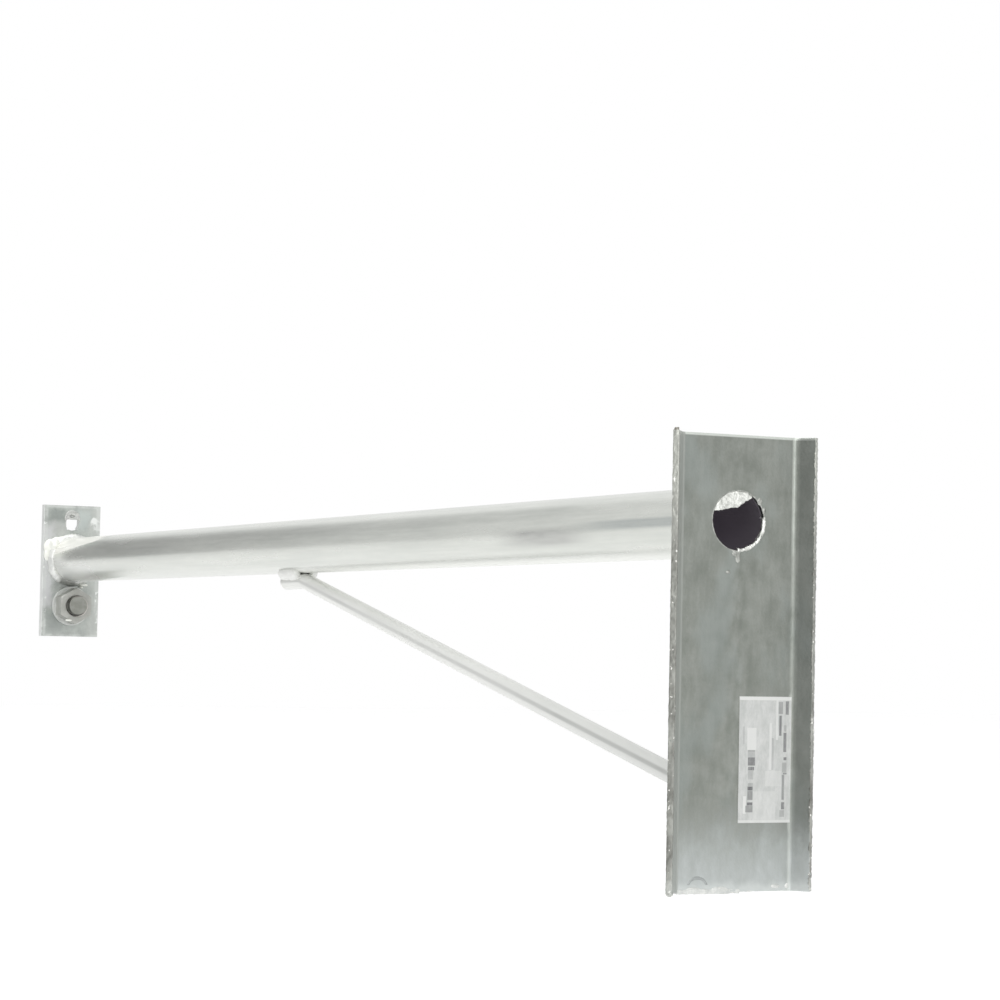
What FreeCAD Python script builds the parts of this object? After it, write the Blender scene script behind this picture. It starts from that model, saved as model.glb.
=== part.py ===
import FreeCAD, Part
import math
import os

import Sketcher

V = FreeCAD.Vector

# The arm's own frame: X runs along the tube away from the pole, Z is up, and the origin is where the
# tube's axis meets the pole side of the back plate's web. Left is +Y and right is -Y.

doc = FreeCAD.newDocument("extension_arm")
sizes = doc.addObject("Spreadsheet::Sheet", "sizes")

DRIVING = (
    # Back plate: one sheet with a lip folded towards the pole down each side
    ("sheet_thickness", 3.0),
    ("plate_height", 211.6),
    ("plate_rise", 40.1),
    ("web_flat_width", 57.6),
    ("fold_radius", 3.0),
    ("fold_angle", 50.0),
    ("lip_length", 8.7),
    ("drain_diameter", 28.0),
    # Arm: a drawn tube butted on the web, with a flat bar across its far end
    ("arm_reach", 1000.0),
    ("tube_diameter", 33.7),
    ("tube_wall", 2.9),
    ("bar_width", 45.0),
    ("bar_height", 101.0),
    ("bar_rise", 42.0),
    ("bar_thickness", 6.0),
    ("bar_edge_radius", 1.0),
    ("bar_shift", 1.3),
    ("slot_width", 11.0),
    ("slot_length", 15.0),
    ("slot_centre_rise", 30.2),
    # Brace: a round bar bent once, lying under the tube at its top end
    ("brace_diameter", 10.0),
    ("brace_foot_rise", 39.9),
    ("brace_bend_reach", 527.0),
    ("brace_lying_length", 30.0),
    ("brace_bend_radius", 30.0),
    ("brace_seat_gap", 0.05),
    # Welds: leg lengths of the fillets, and the round beads under the tube
    ("root_weld_leg", 5.0),
    ("tip_weld_leg", 3.5),
    ("foot_weld_leg", 4.0),
    ("bead_radius", 3.6),
    ("bead_spread", 5.2),
    ("bead_drop", 18.6),
    ("bead_end_inset", 4.0),
    ("bead_length", 26.0),
    # Bolt, nut and washers of the lower hole
    ("bolt_diameter", 16.0),
    ("bolt_length", 30.0),
    ("bolt_drop", 35.5),
    ("bolt_hole_clearance", 0.75),
    ("head_height", 10.0),
    ("hexagon_across_flats", 24.0),
    ("hexagon_chamfer_angle", 30.0),
    ("nut_height", 13.0),
    ("nut_countersink", 0.7),
    ("thread_end_chamfer", 1.1),
    ("thread_seat_gap", 0.05),
    ("washer_diameter", 30.0),
    ("washer_thickness", 3.0),
    ("washer_hole_clearance", 0.5),
    # Paper label on the web, with one long side at the right fold
    ("label_width", 26.8),
    ("label_height", 58.5),
    ("label_foot_rise", 31.7),
    ("label_thickness", 0.15),
)

for row, (name, value) in enumerate(DRIVING, start=1):
    sizes.set(f"A{row}", name)
    sizes.set(f"B{row}", str(value))
    sizes.setAlias(f"B{row}", name)
doc.recompute()


def size(name):
    """A driving dimension, in millimetres or degrees."""
    return float(sizes.get(name))


def plane(body, role):
    """The body's own origin plane with that role."""
    return next(f for f in body.Origin.OriginFeatures if f.Role == role)


def new_body(label):
    body = doc.addObject("PartDesign::Body", label)
    body.Label = label
    return body


def new_tip_body(label):
    """A body that sits with the flat bar, which is welded on a little to the left of the tube's axis."""
    body = new_body(label)
    body.setExpression("Placement.Base.y", "sizes.bar_shift")
    return body


def new_sketch(body, name, role, offset=None):
    """A sketch on one of the body's origin planes, moved along the plane's normal by an expression."""
    sketch = body.newObject("Sketcher::SketchObject", name)
    sketch.AttachmentSupport = [(plane(body, role), "")]
    sketch.MapMode = "FlatFace"
    if offset:
        sketch.setExpression("AttachmentOffset.Base.z", offset)
    return sketch


def constrain(sketch, kind, *places, value=None, rule=None):
    """Adds a constraint; a size is bound to the sheet by its rule."""
    if value is None:
        sketch.addConstraint(Sketcher.Constraint(kind, *places))
        return
    number = sketch.addConstraint(Sketcher.Constraint(kind, *places, value))
    sketch.setExpression(f"Constraints[{number}]", rule)


# Points of a sketched edge, and the sketch's own origin and axes
START, END, CENTRE = 1, 2, 3
ORIGIN = (-1, 1)
AXIS_ACROSS, AXIS_UP = -1, -2

# How near two directions or places must be to count as the same
TOLERANCE = 0.01


def circle(sketch, radius, rule, centre=V(0, 0, 0), height_rule=None):
    """A circle on the sketch's origin, or on its upright axis at the height that a rule gives."""
    number = sketch.addGeometry(Part.Circle(centre, V(0, 0, 1), radius))
    constrain(sketch, "Radius", number, value=radius, rule=rule)
    if height_rule is None:
        constrain(sketch, "Coincident", number, CENTRE, *ORIGIN)
        return number
    constrain(sketch, "PointOnObject", number, CENTRE, AXIS_UP)
    constrain(sketch, "DistanceY", *ORIGIN, number, CENTRE, value=centre.y, rule=height_rule)
    return number


def closed_outline(sketch, points):
    """Straight edges through the points, joined end to end. Returns the edges' numbers."""
    edges = [Part.LineSegment(a, b) for a, b in zip(points, points[1:] + points[:1])]
    numbers = sketch.addGeometry(edges)
    for here, after in zip(numbers, numbers[1:] + numbers[:1]):
        constrain(sketch, "Coincident", here, END, after, START)
    return numbers


def pad(body, sketch, length_rule, name):
    """The sketch carried along its plane's normal, for the length that a rule gives."""
    feature = body.newObject("PartDesign::Pad", name)
    feature.Profile = sketch
    feature.setExpression("Length", length_rule)
    return feature


def cut_through(body, sketch, name):
    """The sketch cut out of the whole body, both ways from its plane."""
    feature = body.newObject("PartDesign::Pocket", name)
    feature.Profile = sketch
    feature.Type = "ThroughAll"
    feature.SideType = "Symmetric"
    return feature


# Back plate: the folded sheet's section, drawn from above and padded up and down from the tube's axis
def make_back_plate():
    body = new_body("back_plate")
    sketch = new_sketch(body, "folded_section", "XY_Plane")
    sheet = size("sheet_thickness")
    half = size("web_flat_width") / 2
    inner = size("fold_radius")
    outer = inner + sheet
    angle = math.radians(size("fold_angle"))
    length = size("lip_length")

    def side(s):
        """Corners of one side, s = 1 for left and -1 for right, from the web out to the lip's cut edge."""
        along = V(-math.sin(angle), s * math.cos(angle), 0)
        across = V(math.cos(angle), s * math.sin(angle), 0)
        middle = V(-inner, s * half, 0)
        near = middle + across * inner
        far = middle + across * outer
        return middle, near, near + along * length, far + along * length, far

    l_mid, l_near, l_tip_near, l_tip_far, l_far = side(1)
    r_mid, r_near, r_tip_near, r_tip_far, r_far = side(-1)
    web_l, web_r = V(0, half, 0), V(0, -half, 0)
    back_l, back_r = V(sheet, half, 0), V(sheet, -half, 0)
    up = V(0, 0, 1)
    left_inner = Part.ArcOfCircle(Part.Circle(l_mid, up, inner), 0, angle)
    left_outer = Part.ArcOfCircle(Part.Circle(l_mid, up, outer), 0, angle)
    right_outer = Part.ArcOfCircle(Part.Circle(r_mid, up, outer), -angle, 0)
    right_inner = Part.ArcOfCircle(Part.Circle(r_mid, up, inner), -angle, 0)
    (web, fold_l, lip_l, edge_l, lip_back_l, fold_back_l,
     web_back, fold_back_r, lip_back_r, edge_r, lip_r, fold_r) = sketch.addGeometry([
        Part.LineSegment(web_r, web_l), left_inner, Part.LineSegment(l_near, l_tip_near),
        Part.LineSegment(l_tip_near, l_tip_far), Part.LineSegment(l_tip_far, l_far), left_outer,
        Part.LineSegment(back_l, back_r), right_outer, Part.LineSegment(r_far, r_tip_far),
        Part.LineSegment(r_tip_far, r_tip_near), Part.LineSegment(r_tip_near, r_near), right_inner])

    # Arcs run anticlockwise: a left fold starts at the web, a right fold ends there
    for joint in ((web, END, fold_l, START), (fold_l, END, lip_l, START),
                  (lip_back_l, END, fold_back_l, END), (fold_back_l, START, web_back, START),
                  (web_back, END, fold_back_r, END), (fold_back_r, START, lip_back_r, START),
                  (lip_r, END, fold_r, START), (fold_r, END, web, START)):
        constrain(sketch, "Tangent", *joint)
    for joint in ((lip_l, END, edge_l, START), (edge_l, END, lip_back_l, START),
                  (lip_back_r, END, edge_r, START), (edge_r, END, lip_r, START),
                  (fold_l, CENTRE, fold_back_l, CENTRE), (fold_r, CENTRE, fold_back_r, CENTRE)):
        constrain(sketch, "Coincident", *joint)
    constrain(sketch, "Symmetric", web, START, web, END, AXIS_ACROSS)
    constrain(sketch, "PointOnObject", web, START, AXIS_UP)
    constrain(sketch, "Perpendicular", edge_l, lip_l)
    constrain(sketch, "Perpendicular", edge_r, lip_r)
    constrain(sketch, "Parallel", lip_l, lip_back_l)
    constrain(sketch, "Parallel", lip_r, lip_back_r)
    constrain(sketch, "Equal", fold_l, fold_r)
    constrain(sketch, "Equal", fold_back_l, fold_back_r)
    constrain(sketch, "Equal", lip_l, lip_r)
    constrain(sketch, "Distance", web, value=2 * half, rule="sizes.web_flat_width")
    constrain(sketch, "Radius", fold_l, value=inner, rule="sizes.fold_radius")
    constrain(sketch, "Radius", fold_back_l, value=outer, rule="sizes.fold_radius + sizes.sheet_thickness")
    constrain(sketch, "Distance", lip_l, value=length, rule="sizes.lip_length")
    quarter = math.pi / 2
    constrain(sketch, "Angle", lip_l, value=quarter + angle, rule="90 deg + sizes.fold_angle * 1 deg")
    constrain(sketch, "Angle", lip_r, value=quarter - angle, rule="90 deg - sizes.fold_angle * 1 deg")

    feature = pad(body, sketch, "sizes.plate_rise", "folded_sheet")
    feature.SideType = "Two sides"
    feature.setExpression("Length2", "sizes.plate_height - sizes.plate_rise")
    doc.recompute()

    hole = new_sketch(body, "drain_outline", "YZ_Plane")
    circle(hole, size("drain_diameter") / 2, "sizes.drain_diameter / 2")
    cut_through(body, hole, "drain_hole")
    return body


# Arm tube: drawn tube from the web's arm side to the flat bar at the tip
def make_arm_tube():
    body = new_body("arm_tube")
    section = new_sketch(body, "tube_section", "YZ_Plane", "sizes.sheet_thickness")
    circle(section, size("tube_diameter") / 2, "sizes.tube_diameter / 2")
    bore = size("tube_diameter") / 2 - size("tube_wall")
    circle(section, bore, "sizes.tube_diameter / 2 - sizes.tube_wall")
    pad(body, section, "sizes.arm_reach - sizes.sheet_thickness", "tube")
    return body


# End plate: a length of flat bar with rolled edges, an upright slot above the tube and a bolt hole below
def make_end_plate():
    body = new_tip_body("end_plate")
    half = size("bar_width") / 2
    rise = size("bar_rise")
    drop = size("bar_height") - rise
    outline = new_sketch(body, "bar_outline", "YZ_Plane", "sizes.arm_reach")
    left, top, _, bottom = closed_outline(outline, [
        V(-half, -drop, 0), V(-half, rise, 0), V(half, rise, 0), V(half, -drop, 0)])
    constrain(outline, "Vertical", left)
    constrain(outline, "Symmetric", top, START, top, END, AXIS_UP)
    constrain(outline, "Symmetric", bottom, START, bottom, END, AXIS_UP)
    constrain(outline, "DistanceX", top, START, top, END, value=2 * half, rule="sizes.bar_width")
    constrain(outline, "DistanceY", *ORIGIN, top, START, value=rise, rule="sizes.bar_rise")
    constrain(outline, "DistanceY", left, START, left, END, value=rise + drop, rule="sizes.bar_height")
    bar = pad(body, outline, "sizes.bar_thickness", "flat_bar")
    doc.recompute()

    # The rolled edges are the four long upright ones
    upright = [f"Edge{n}" for n, edge in enumerate(bar.Shape.Edges, start=1)
               if edge.tangentAt(edge.FirstParameter).cross(V(0, 0, 1)).Length < TOLERANCE]
    rolled = body.newObject("PartDesign::Fillet", "rolled_edges")
    rolled.Base = (bar, upright)
    rolled.setExpression("Radius", "sizes.bar_edge_radius")
    doc.recompute()

    centre = size("slot_centre_rise")
    radius = size("slot_width") / 2
    reach = size("slot_length") / 2 - radius
    slot = new_sketch(body, "slot_outline", "YZ_Plane", "sizes.arm_reach")
    upper, side_l, lower, side_r = slot.addGeometry([
        Part.ArcOfCircle(Part.Circle(V(0, centre + reach, 0), V(0, 0, 1), radius), 0, math.pi),
        Part.LineSegment(V(-radius, centre + reach, 0), V(-radius, centre - reach, 0)),
        Part.ArcOfCircle(Part.Circle(V(0, centre - reach, 0), V(0, 0, 1), radius), math.pi, 2 * math.pi),
        Part.LineSegment(V(radius, centre - reach, 0), V(radius, centre + reach, 0))])
    for joint in ((upper, END, side_l, START), (side_l, END, lower, START),
                  (lower, END, side_r, START), (side_r, END, upper, START)):
        constrain(slot, "Tangent", *joint)
    constrain(slot, "Equal", upper, lower)
    constrain(slot, "PointOnObject", upper, CENTRE, AXIS_UP)
    constrain(slot, "PointOnObject", lower, CENTRE, AXIS_UP)
    constrain(slot, "Radius", upper, value=radius, rule="sizes.slot_width / 2")
    constrain(slot, "DistanceY", lower, CENTRE, upper, CENTRE, value=2 * reach,
              rule="sizes.slot_length - sizes.slot_width")
    constrain(slot, "DistanceY", *ORIGIN, lower, CENTRE, value=centre - reach,
              rule="sizes.slot_centre_rise - (sizes.slot_length - sizes.slot_width) / 2")
    cut_through(body, slot, "slot")
    doc.recompute()

    hole = new_sketch(body, "bolt_hole_outline", "YZ_Plane", "sizes.arm_reach")
    circle(hole, size("bolt_diameter") / 2 + size("bolt_hole_clearance"),
           "sizes.bolt_diameter / 2 + sizes.bolt_hole_clearance",
           V(0, -size("bolt_drop"), 0), "-sizes.bolt_drop")
    cut_through(body, hole, "bolt_hole")
    return body


# Brace: a round bar swept along its bent route, its foot cut flush with the web's arm side
FOOT_DROP = "(sizes.plate_height - sizes.plate_rise - sizes.brace_foot_rise)"
BRACE_END = "sizes.brace_bend_reach + sizes.brace_lying_length"


def foot_drop():
    """How far the brace's foot lies under the tube's axis."""
    return size("plate_height") - size("plate_rise") - size("brace_foot_rise")


def brace_route():
    """The foot, bend and end of the bar's centre line."""
    foot = V(size("sheet_thickness"), 0, -foot_drop())
    lying = -(size("tube_diameter") + size("brace_diameter")) / 2 - size("brace_seat_gap")
    bend = V(size("brace_bend_reach"), 0, lying)
    end = bend + V(size("brace_lying_length"), 0, 0)
    return foot, bend, end


def make_brace_bar():
    body = new_body("brace_bar")
    foot, bend, end = brace_route()
    rising = (bend - foot).normalize()
    turn = math.acos(rising.x)
    radius = size("brace_bend_radius")
    trim = radius * math.tan(turn / 2)
    start = foot - rising * size("brace_diameter")
    before = bend - rising * trim
    after = bend + V(trim, 0, 0)
    path = new_sketch(body, "route", "XZ_Plane")
    centre = V(after.x, after.z - radius, 0)
    bent = Part.ArcOfCircle(Part.Circle(centre, V(0, 0, 1), radius), math.pi / 2, math.pi / 2 + turn)
    long_run, arc, short_run, foot_mark = path.addGeometry([
        Part.LineSegment(V(start.x, start.z, 0), V(before.x, before.z, 0)), bent,
        Part.LineSegment(V(after.x, after.z, 0), V(end.x, end.z, 0)),
        Part.Point(V(foot.x, foot.z, 0))])
    bend_mark = path.addGeometry(Part.Point(V(bend.x, bend.z, 0)))
    path.toggleConstruction(foot_mark)
    path.toggleConstruction(bend_mark)
    lying_rule = "(sizes.tube_diameter + sizes.brace_diameter) / 2 + sizes.brace_seat_gap"
    constrain(path, "Tangent", long_run, END, arc, END)
    constrain(path, "Tangent", arc, START, short_run, START)
    constrain(path, "Horizontal", short_run)
    constrain(path, "Radius", arc, value=radius, rule="sizes.brace_bend_radius")
    constrain(path, "PointOnObject", foot_mark, START, long_run)
    constrain(path, "PointOnObject", bend_mark, START, long_run)
    constrain(path, "PointOnObject", bend_mark, START, short_run)
    constrain(path, "DistanceX", *ORIGIN, foot_mark, START, value=foot.x, rule="sizes.sheet_thickness")
    constrain(path, "DistanceY", foot_mark, START, *ORIGIN, value=-foot.z, rule=FOOT_DROP)
    constrain(path, "DistanceX", *ORIGIN, bend_mark, START, value=bend.x, rule="sizes.brace_bend_reach")
    constrain(path, "DistanceY", bend_mark, START, *ORIGIN, value=-bend.z, rule=lying_rule)
    constrain(path, "DistanceX", *ORIGIN, short_run, END, value=end.x, rule=BRACE_END)
    constrain(path, "Distance", long_run, START, foot_mark, START, value=size("brace_diameter"),
              rule="sizes.brace_diameter")
    doc.recompute()

    section = body.newObject("Sketcher::SketchObject", "bar_section")
    section.AttachmentSupport = [(path, "Edge1")]
    section.MapMode = "NormalToEdge"
    section.MapPathParameter = 0.0
    circle(section, size("brace_diameter") / 2, "sizes.brace_diameter / 2")
    sweep = body.newObject("PartDesign::AdditivePipe", "bent_bar")
    sweep.Profile = section
    sweep.Spine = (path, ["Edge1", "Edge2", "Edge3"])
    doc.recompute()

    # What lies on the pole side of the web's arm face is sawn off
    saw = new_sketch(body, "foot_saw", "YZ_Plane", "sizes.sheet_thickness")
    circle(saw, foot_drop(), FOOT_DROP, V(0, -foot_drop(), 0), f"-{FOOT_DROP}")
    flush = body.newObject("PartDesign::Pocket", "flush_foot")
    flush.Profile = saw
    flush.Type = "ThroughAll"
    return body


# Fillet welds round the tube: a ring of triangular section in the corner of tube and plate
def make_ring_weld(label, corner_size, leg_size, towards):
    """The corner and the leg are driving sizes; towards is 1 or -1, the way the weld runs along X."""
    body = new_body(label)
    radius = size("tube_diameter") / 2
    corner = size(corner_size)
    leg = size(leg_size)
    leg_rule = f"sizes.{leg_size}"
    sketch = new_sketch(body, "weld_section", "XZ_Plane")
    base, _, wall = closed_outline(sketch, [
        V(corner, radius, 0), V(corner + towards * leg, radius, 0), V(corner, radius + leg, 0)])
    constrain(sketch, "Horizontal", base)
    constrain(sketch, "Vertical", wall)
    constrain(sketch, "DistanceX", *ORIGIN, base, START, value=corner, rule=f"sizes.{corner_size}")
    constrain(sketch, "DistanceY", *ORIGIN, base, START, value=radius, rule="sizes.tube_diameter / 2")
    ends = (base, START, base, END) if towards > 0 else (base, END, base, START)
    constrain(sketch, "DistanceX", *ends, value=leg, rule=leg_rule)
    constrain(sketch, "DistanceY", wall, END, wall, START, value=leg, rule=leg_rule)
    ring = body.newObject("PartDesign::Revolution", "weld_ring")
    ring.Profile = sketch
    ring.ReferenceAxis = (sketch, ["H_Axis"])
    ring.Angle = 360
    return body


# Fillet weld round the brace's foot: a cone on the web, with the bar's own form cut out of it
def make_foot_weld(brace):
    cone = doc.addObject("Part::Cone", "foot_weld_cone")
    cone.setExpression("Radius1", "sizes.brace_diameter / 2 + sizes.foot_weld_leg")
    cone.setExpression("Radius2", "sizes.brace_diameter / 2")
    cone.setExpression("Height", "sizes.foot_weld_leg")
    cone.Placement.Rotation = FreeCAD.Rotation(V(0, 1, 0), 90)
    cone.setExpression("Placement.Base.x", "sizes.sheet_thickness")
    cone.setExpression("Placement.Base.z", f"-{FOOT_DROP}")
    weld = doc.addObject("Part::Cut", "brace_foot_weld")
    weld.Base = cone
    weld.Tool = brace
    weld.Label = "brace_foot_weld"
    return weld


# Beads between the brace's top end and the tube, one each side
def make_bead(label, sign, brace, tube):
    rod = doc.addObject("Part::Cylinder", f"{label}_rod")
    rod.setExpression("Radius", "sizes.bead_radius")
    rod.setExpression("Height", "sizes.bead_length")
    rod.Placement.Rotation = FreeCAD.Rotation(V(0, 1, 0), 90)
    rod.setExpression("Placement.Base.x", f"{BRACE_END} - sizes.bead_end_inset - sizes.bead_length")
    rod.setExpression("Placement.Base.y", f"{sign} * sizes.bead_spread")
    rod.setExpression("Placement.Base.z", "-sizes.bead_drop")
    under_tube = doc.addObject("Part::Cut", f"{label}_under_tube")
    under_tube.Base = rod
    under_tube.Tool = tube
    bead = doc.addObject("Part::Cut", label)
    bead.Base = under_tube
    bead.Tool = brace
    bead.Label = label
    return bead


# Hexagon of the bolt head and of the nut, flats to the sides, with its corners turned off at the face
CUT_REACH = 1.1  # how far out the turning cut runs, as a share of the corners' own radius


def hexagon_sketch(body, offset_rule):
    corner = size("hexagon_across_flats") / 2 / math.cos(math.pi / 6)
    sketch = new_sketch(body, "hexagon", "YZ_Plane", offset_rule)
    middle = V(0, -size("bolt_drop"), 0)
    numbers = closed_outline(sketch, [
        middle + V(corner * math.sin(k * math.pi / 3), corner * math.cos(k * math.pi / 3), 0)
        for k in range(6)])
    ring = circle(sketch, corner, "sizes.hexagon_across_flats / 2 / cos(30 deg)", middle, "-sizes.bolt_drop")
    sketch.toggleConstruction(ring)
    for number in numbers:
        constrain(sketch, "PointOnObject", number, START, ring)
    for number in numbers[1:]:
        constrain(sketch, "Equal", numbers[0], number)
    constrain(sketch, "Vertical", numbers[1])
    return sketch


def turn_corners(body, face_rule, face, outward):
    """Cuts the hexagon's corners with a cone that starts at the across-flats circle on the face."""
    half = size("hexagon_across_flats") / 2
    corner = half / math.cos(math.pi / 6) * CUT_REACH
    fall = (corner - half) * math.tan(math.radians(size("hexagon_chamfer_angle")))
    axis_z = -size("bolt_drop")
    sketch = new_sketch(body, "corner_cut", "XZ_Plane")
    _, outer, flat = closed_outline(sketch, [
        V(face, axis_z + half, 0), V(face - outward * fall, axis_z + corner, 0), V(face, axis_z + corner, 0)])
    axis = sketch.addGeometry(Part.LineSegment(V(face, axis_z, 0), V(face + outward * fall, axis_z, 0)))
    sketch.toggleConstruction(axis)
    constrain(sketch, "Horizontal", outer)
    constrain(sketch, "Vertical", flat)
    constrain(sketch, "Horizontal", axis)
    constrain(sketch, "DistanceX", *ORIGIN, flat, END, value=face, rule=face_rule)
    constrain(sketch, "DistanceX", *ORIGIN, axis, START, value=face, rule=face_rule)
    constrain(sketch, "Equal", axis, outer)
    constrain(sketch, "DistanceY", axis, START, *ORIGIN, value=-axis_z, rule="sizes.bolt_drop")
    constrain(sketch, "DistanceY", axis, START, flat, END, value=half, rule="sizes.hexagon_across_flats / 2")
    corner_rule = f"sizes.hexagon_across_flats / 2 / cos(30 deg) * {CUT_REACH}"
    constrain(sketch, "DistanceY", axis, START, flat, START, value=corner, rule=corner_rule)
    ends = (outer, START, outer, END) if outward > 0 else (outer, END, outer, START)
    fall_rule = f"({corner_rule} - sizes.hexagon_across_flats / 2) * tan(sizes.hexagon_chamfer_angle * 1 deg)"
    constrain(sketch, "DistanceX", *ends, value=fall, rule=fall_rule)
    groove = body.newObject("PartDesign::Groove", "turned_corners")
    groove.Profile = sketch
    groove.ReferenceAxis = (sketch, ["Axis0"])
    groove.Angle = 360
    return groove


HEAD_SEAT = "sizes.arm_reach + sizes.bar_thickness + sizes.washer_thickness"
NUT_SEAT = "sizes.arm_reach - sizes.washer_thickness"


def head_seat():
    return size("arm_reach") + size("bar_thickness") + size("washer_thickness")


def nut_face():
    return size("arm_reach") - size("washer_thickness") - size("nut_height")


# Bolt: hexagon head outside the flat bar, shank through it towards the pole
def make_bolt():
    body = new_tip_body("tip_bolt")
    radius = size("bolt_diameter") / 2
    head = hexagon_sketch(body, HEAD_SEAT)
    pad(body, head, "sizes.head_height", "head")
    doc.recompute()
    turn_corners(body, f"{HEAD_SEAT} + sizes.head_height", head_seat() + size("head_height"), 1)
    doc.recompute()
    round_shank = new_sketch(body, "shank_outline", "YZ_Plane", HEAD_SEAT)
    circle(round_shank, radius, "sizes.bolt_diameter / 2", V(0, -size("bolt_drop"), 0), "-sizes.bolt_drop")
    shank = pad(body, round_shank, "sizes.bolt_length", "shank")
    shank.Reversed = True
    doc.recompute()
    tip = head_seat() - size("bolt_length")
    rim = [f"Edge{n}" for n, edge in enumerate(shank.Shape.Edges, start=1)
           if edge.BoundBox.XMax < tip + TOLERANCE]
    chamfer = body.newObject("PartDesign::Chamfer", "thread_end")
    chamfer.Base = (shank, rim)
    chamfer.setExpression("Size", "sizes.thread_end_chamfer")
    return body


# Nut: hexagon with a plain bore in place of its thread, countersunk at both ends and turned at the face
# that looks at the pole
def make_nut():
    body = new_tip_body("tip_nut")
    blank = hexagon_sketch(body, NUT_SEAT)
    feature = pad(body, blank, "sizes.nut_height", "nut_blank")
    feature.Reversed = True
    doc.recompute()
    turn_corners(body, f"{NUT_SEAT} - sizes.nut_height", nut_face(), -1)
    doc.recompute()
    outline = new_sketch(body, "bore_outline", "YZ_Plane", NUT_SEAT)
    radius = size("bolt_diameter") / 2 + size("thread_seat_gap")
    circle(outline, radius, "sizes.bolt_diameter / 2 + sizes.thread_seat_gap",
           V(0, -size("bolt_drop"), 0), "-sizes.bolt_drop")
    bore = cut_through(body, outline, "bore")
    doc.recompute()
    rims = [f"Edge{n}" for n, edge in enumerate(bore.Shape.Edges, start=1)
            if isinstance(edge.Curve, Part.Circle) and abs(edge.Curve.Radius - radius) < TOLERANCE]
    countersink = body.newObject("PartDesign::Chamfer", "countersinks")
    countersink.Base = (bore, rims)
    countersink.setExpression("Size", "sizes.nut_countersink")
    return body


# Washer: a flat ring against one face of the flat bar
def make_washer(label, offset_rule):
    body = new_tip_body(label)
    ring = new_sketch(body, "ring", "YZ_Plane", offset_rule)
    middle = V(0, -size("bolt_drop"), 0)
    circle(ring, size("washer_diameter") / 2, "sizes.washer_diameter / 2", middle, "-sizes.bolt_drop")
    circle(ring, size("bolt_diameter") / 2 + size("washer_hole_clearance"),
           "sizes.bolt_diameter / 2 + sizes.washer_hole_clearance", middle, "-sizes.bolt_drop")
    pad(body, ring, "sizes.washer_thickness", "washer")
    return body


# Label: a paper rectangle stuck on the web's pole side, from the start of the right fold inwards
def make_label():
    paper = doc.addObject("Part::Box", "label")
    paper.Label = "label"
    paper.setExpression("Length", "sizes.label_thickness")
    paper.setExpression("Width", "sizes.label_width")
    paper.setExpression("Height", "sizes.label_height")
    paper.setExpression("Placement.Base.x", "-sizes.label_thickness")
    paper.setExpression("Placement.Base.y", "-sizes.web_flat_width / 2")
    paper.setExpression("Placement.Base.z", "sizes.plate_rise - sizes.plate_height + sizes.label_foot_rise")
    return paper


tube = make_arm_tube()
brace = make_brace_bar()
doc.recompute()
parts = [
    make_back_plate(),
    tube,
    make_end_plate(),
    brace,
    make_ring_weld("root_weld", "sheet_thickness", "root_weld_leg", 1),
    make_ring_weld("tip_weld", "arm_reach", "tip_weld_leg", -1),
    make_foot_weld(brace),
    make_bead("brace_top_weld_left", 1, brace, tube),
    make_bead("brace_top_weld_right", -1, brace, tube),
    make_bolt(),
    make_nut(),
    make_washer("inner_washer", NUT_SEAT),
    make_washer("outer_washer", "sizes.arm_reach + sizes.bar_thickness"),
    make_label(),
]
doc.recompute()

for item in doc.Objects:
    if "Invalid" in item.State or "Error" in item.State:
        raise RuntimeError(f"{item.Name} did not build: {item.State}")
for part in parts:
    if part.Shape.isNull() or not part.Shape.isValid() or part.Shape.Volume <= 0:
        raise RuntimeError(f"{part.Label} has no sound solid")

os.makedirs("parts", exist_ok=True)
for part in parts:
    part.Shape.exportStep(f"parts/{part.Label}.step")
    box = part.Shape.BoundBox
    print(f"{part.Label}: {len(part.Shape.Solids)} solid, {part.Shape.Volume / 1000:.2f} cm3, "
          f"X {box.XMin:.2f}..{box.XMax:.2f}, Y {box.YMin:.2f}..{box.YMax:.2f}, "
          f"Z {box.ZMin:.2f}..{box.ZMax:.2f}")
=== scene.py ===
import bpy
import bmesh
import math
import random
from mathutils import Matrix, Vector


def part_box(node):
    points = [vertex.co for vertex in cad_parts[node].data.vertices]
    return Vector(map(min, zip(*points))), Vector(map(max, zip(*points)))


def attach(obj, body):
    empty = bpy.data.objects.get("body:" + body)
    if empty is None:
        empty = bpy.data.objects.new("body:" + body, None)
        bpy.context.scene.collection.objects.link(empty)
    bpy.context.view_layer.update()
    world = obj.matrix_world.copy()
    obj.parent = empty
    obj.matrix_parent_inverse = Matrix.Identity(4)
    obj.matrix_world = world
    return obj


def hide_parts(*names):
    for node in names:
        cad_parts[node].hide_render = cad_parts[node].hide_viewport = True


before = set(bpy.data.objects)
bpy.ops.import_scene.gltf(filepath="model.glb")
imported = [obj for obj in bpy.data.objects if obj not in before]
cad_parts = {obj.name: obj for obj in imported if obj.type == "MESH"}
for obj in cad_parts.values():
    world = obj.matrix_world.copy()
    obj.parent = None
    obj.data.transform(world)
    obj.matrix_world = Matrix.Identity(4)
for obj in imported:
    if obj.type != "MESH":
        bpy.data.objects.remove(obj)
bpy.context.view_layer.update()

# Camera. It stands low on the pole side and to the left, 1.4 m from the back plate, so that the plate
# shows its pole side and the tube runs away from it to the left of the picture.
camera_place = Vector((-1.1654, 0.6943, -0.0613))
yaw, pitch, roll = (math.radians(angle) for angle in (26.09, 2.91, 1.16))
looking = Vector((math.cos(yaw) * math.cos(pitch), -math.sin(yaw) * math.cos(pitch), math.sin(pitch)))
level_right = looking.cross(Vector((0, 0, 1))).normalized()
level_up = level_right.cross(looking)
picture_right = math.cos(roll) * level_right + math.sin(roll) * level_up
picture_up = math.cos(roll) * level_up - math.sin(roll) * level_right
turned = Matrix((picture_right, picture_up, -looking)).transposed().to_euler()
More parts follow.
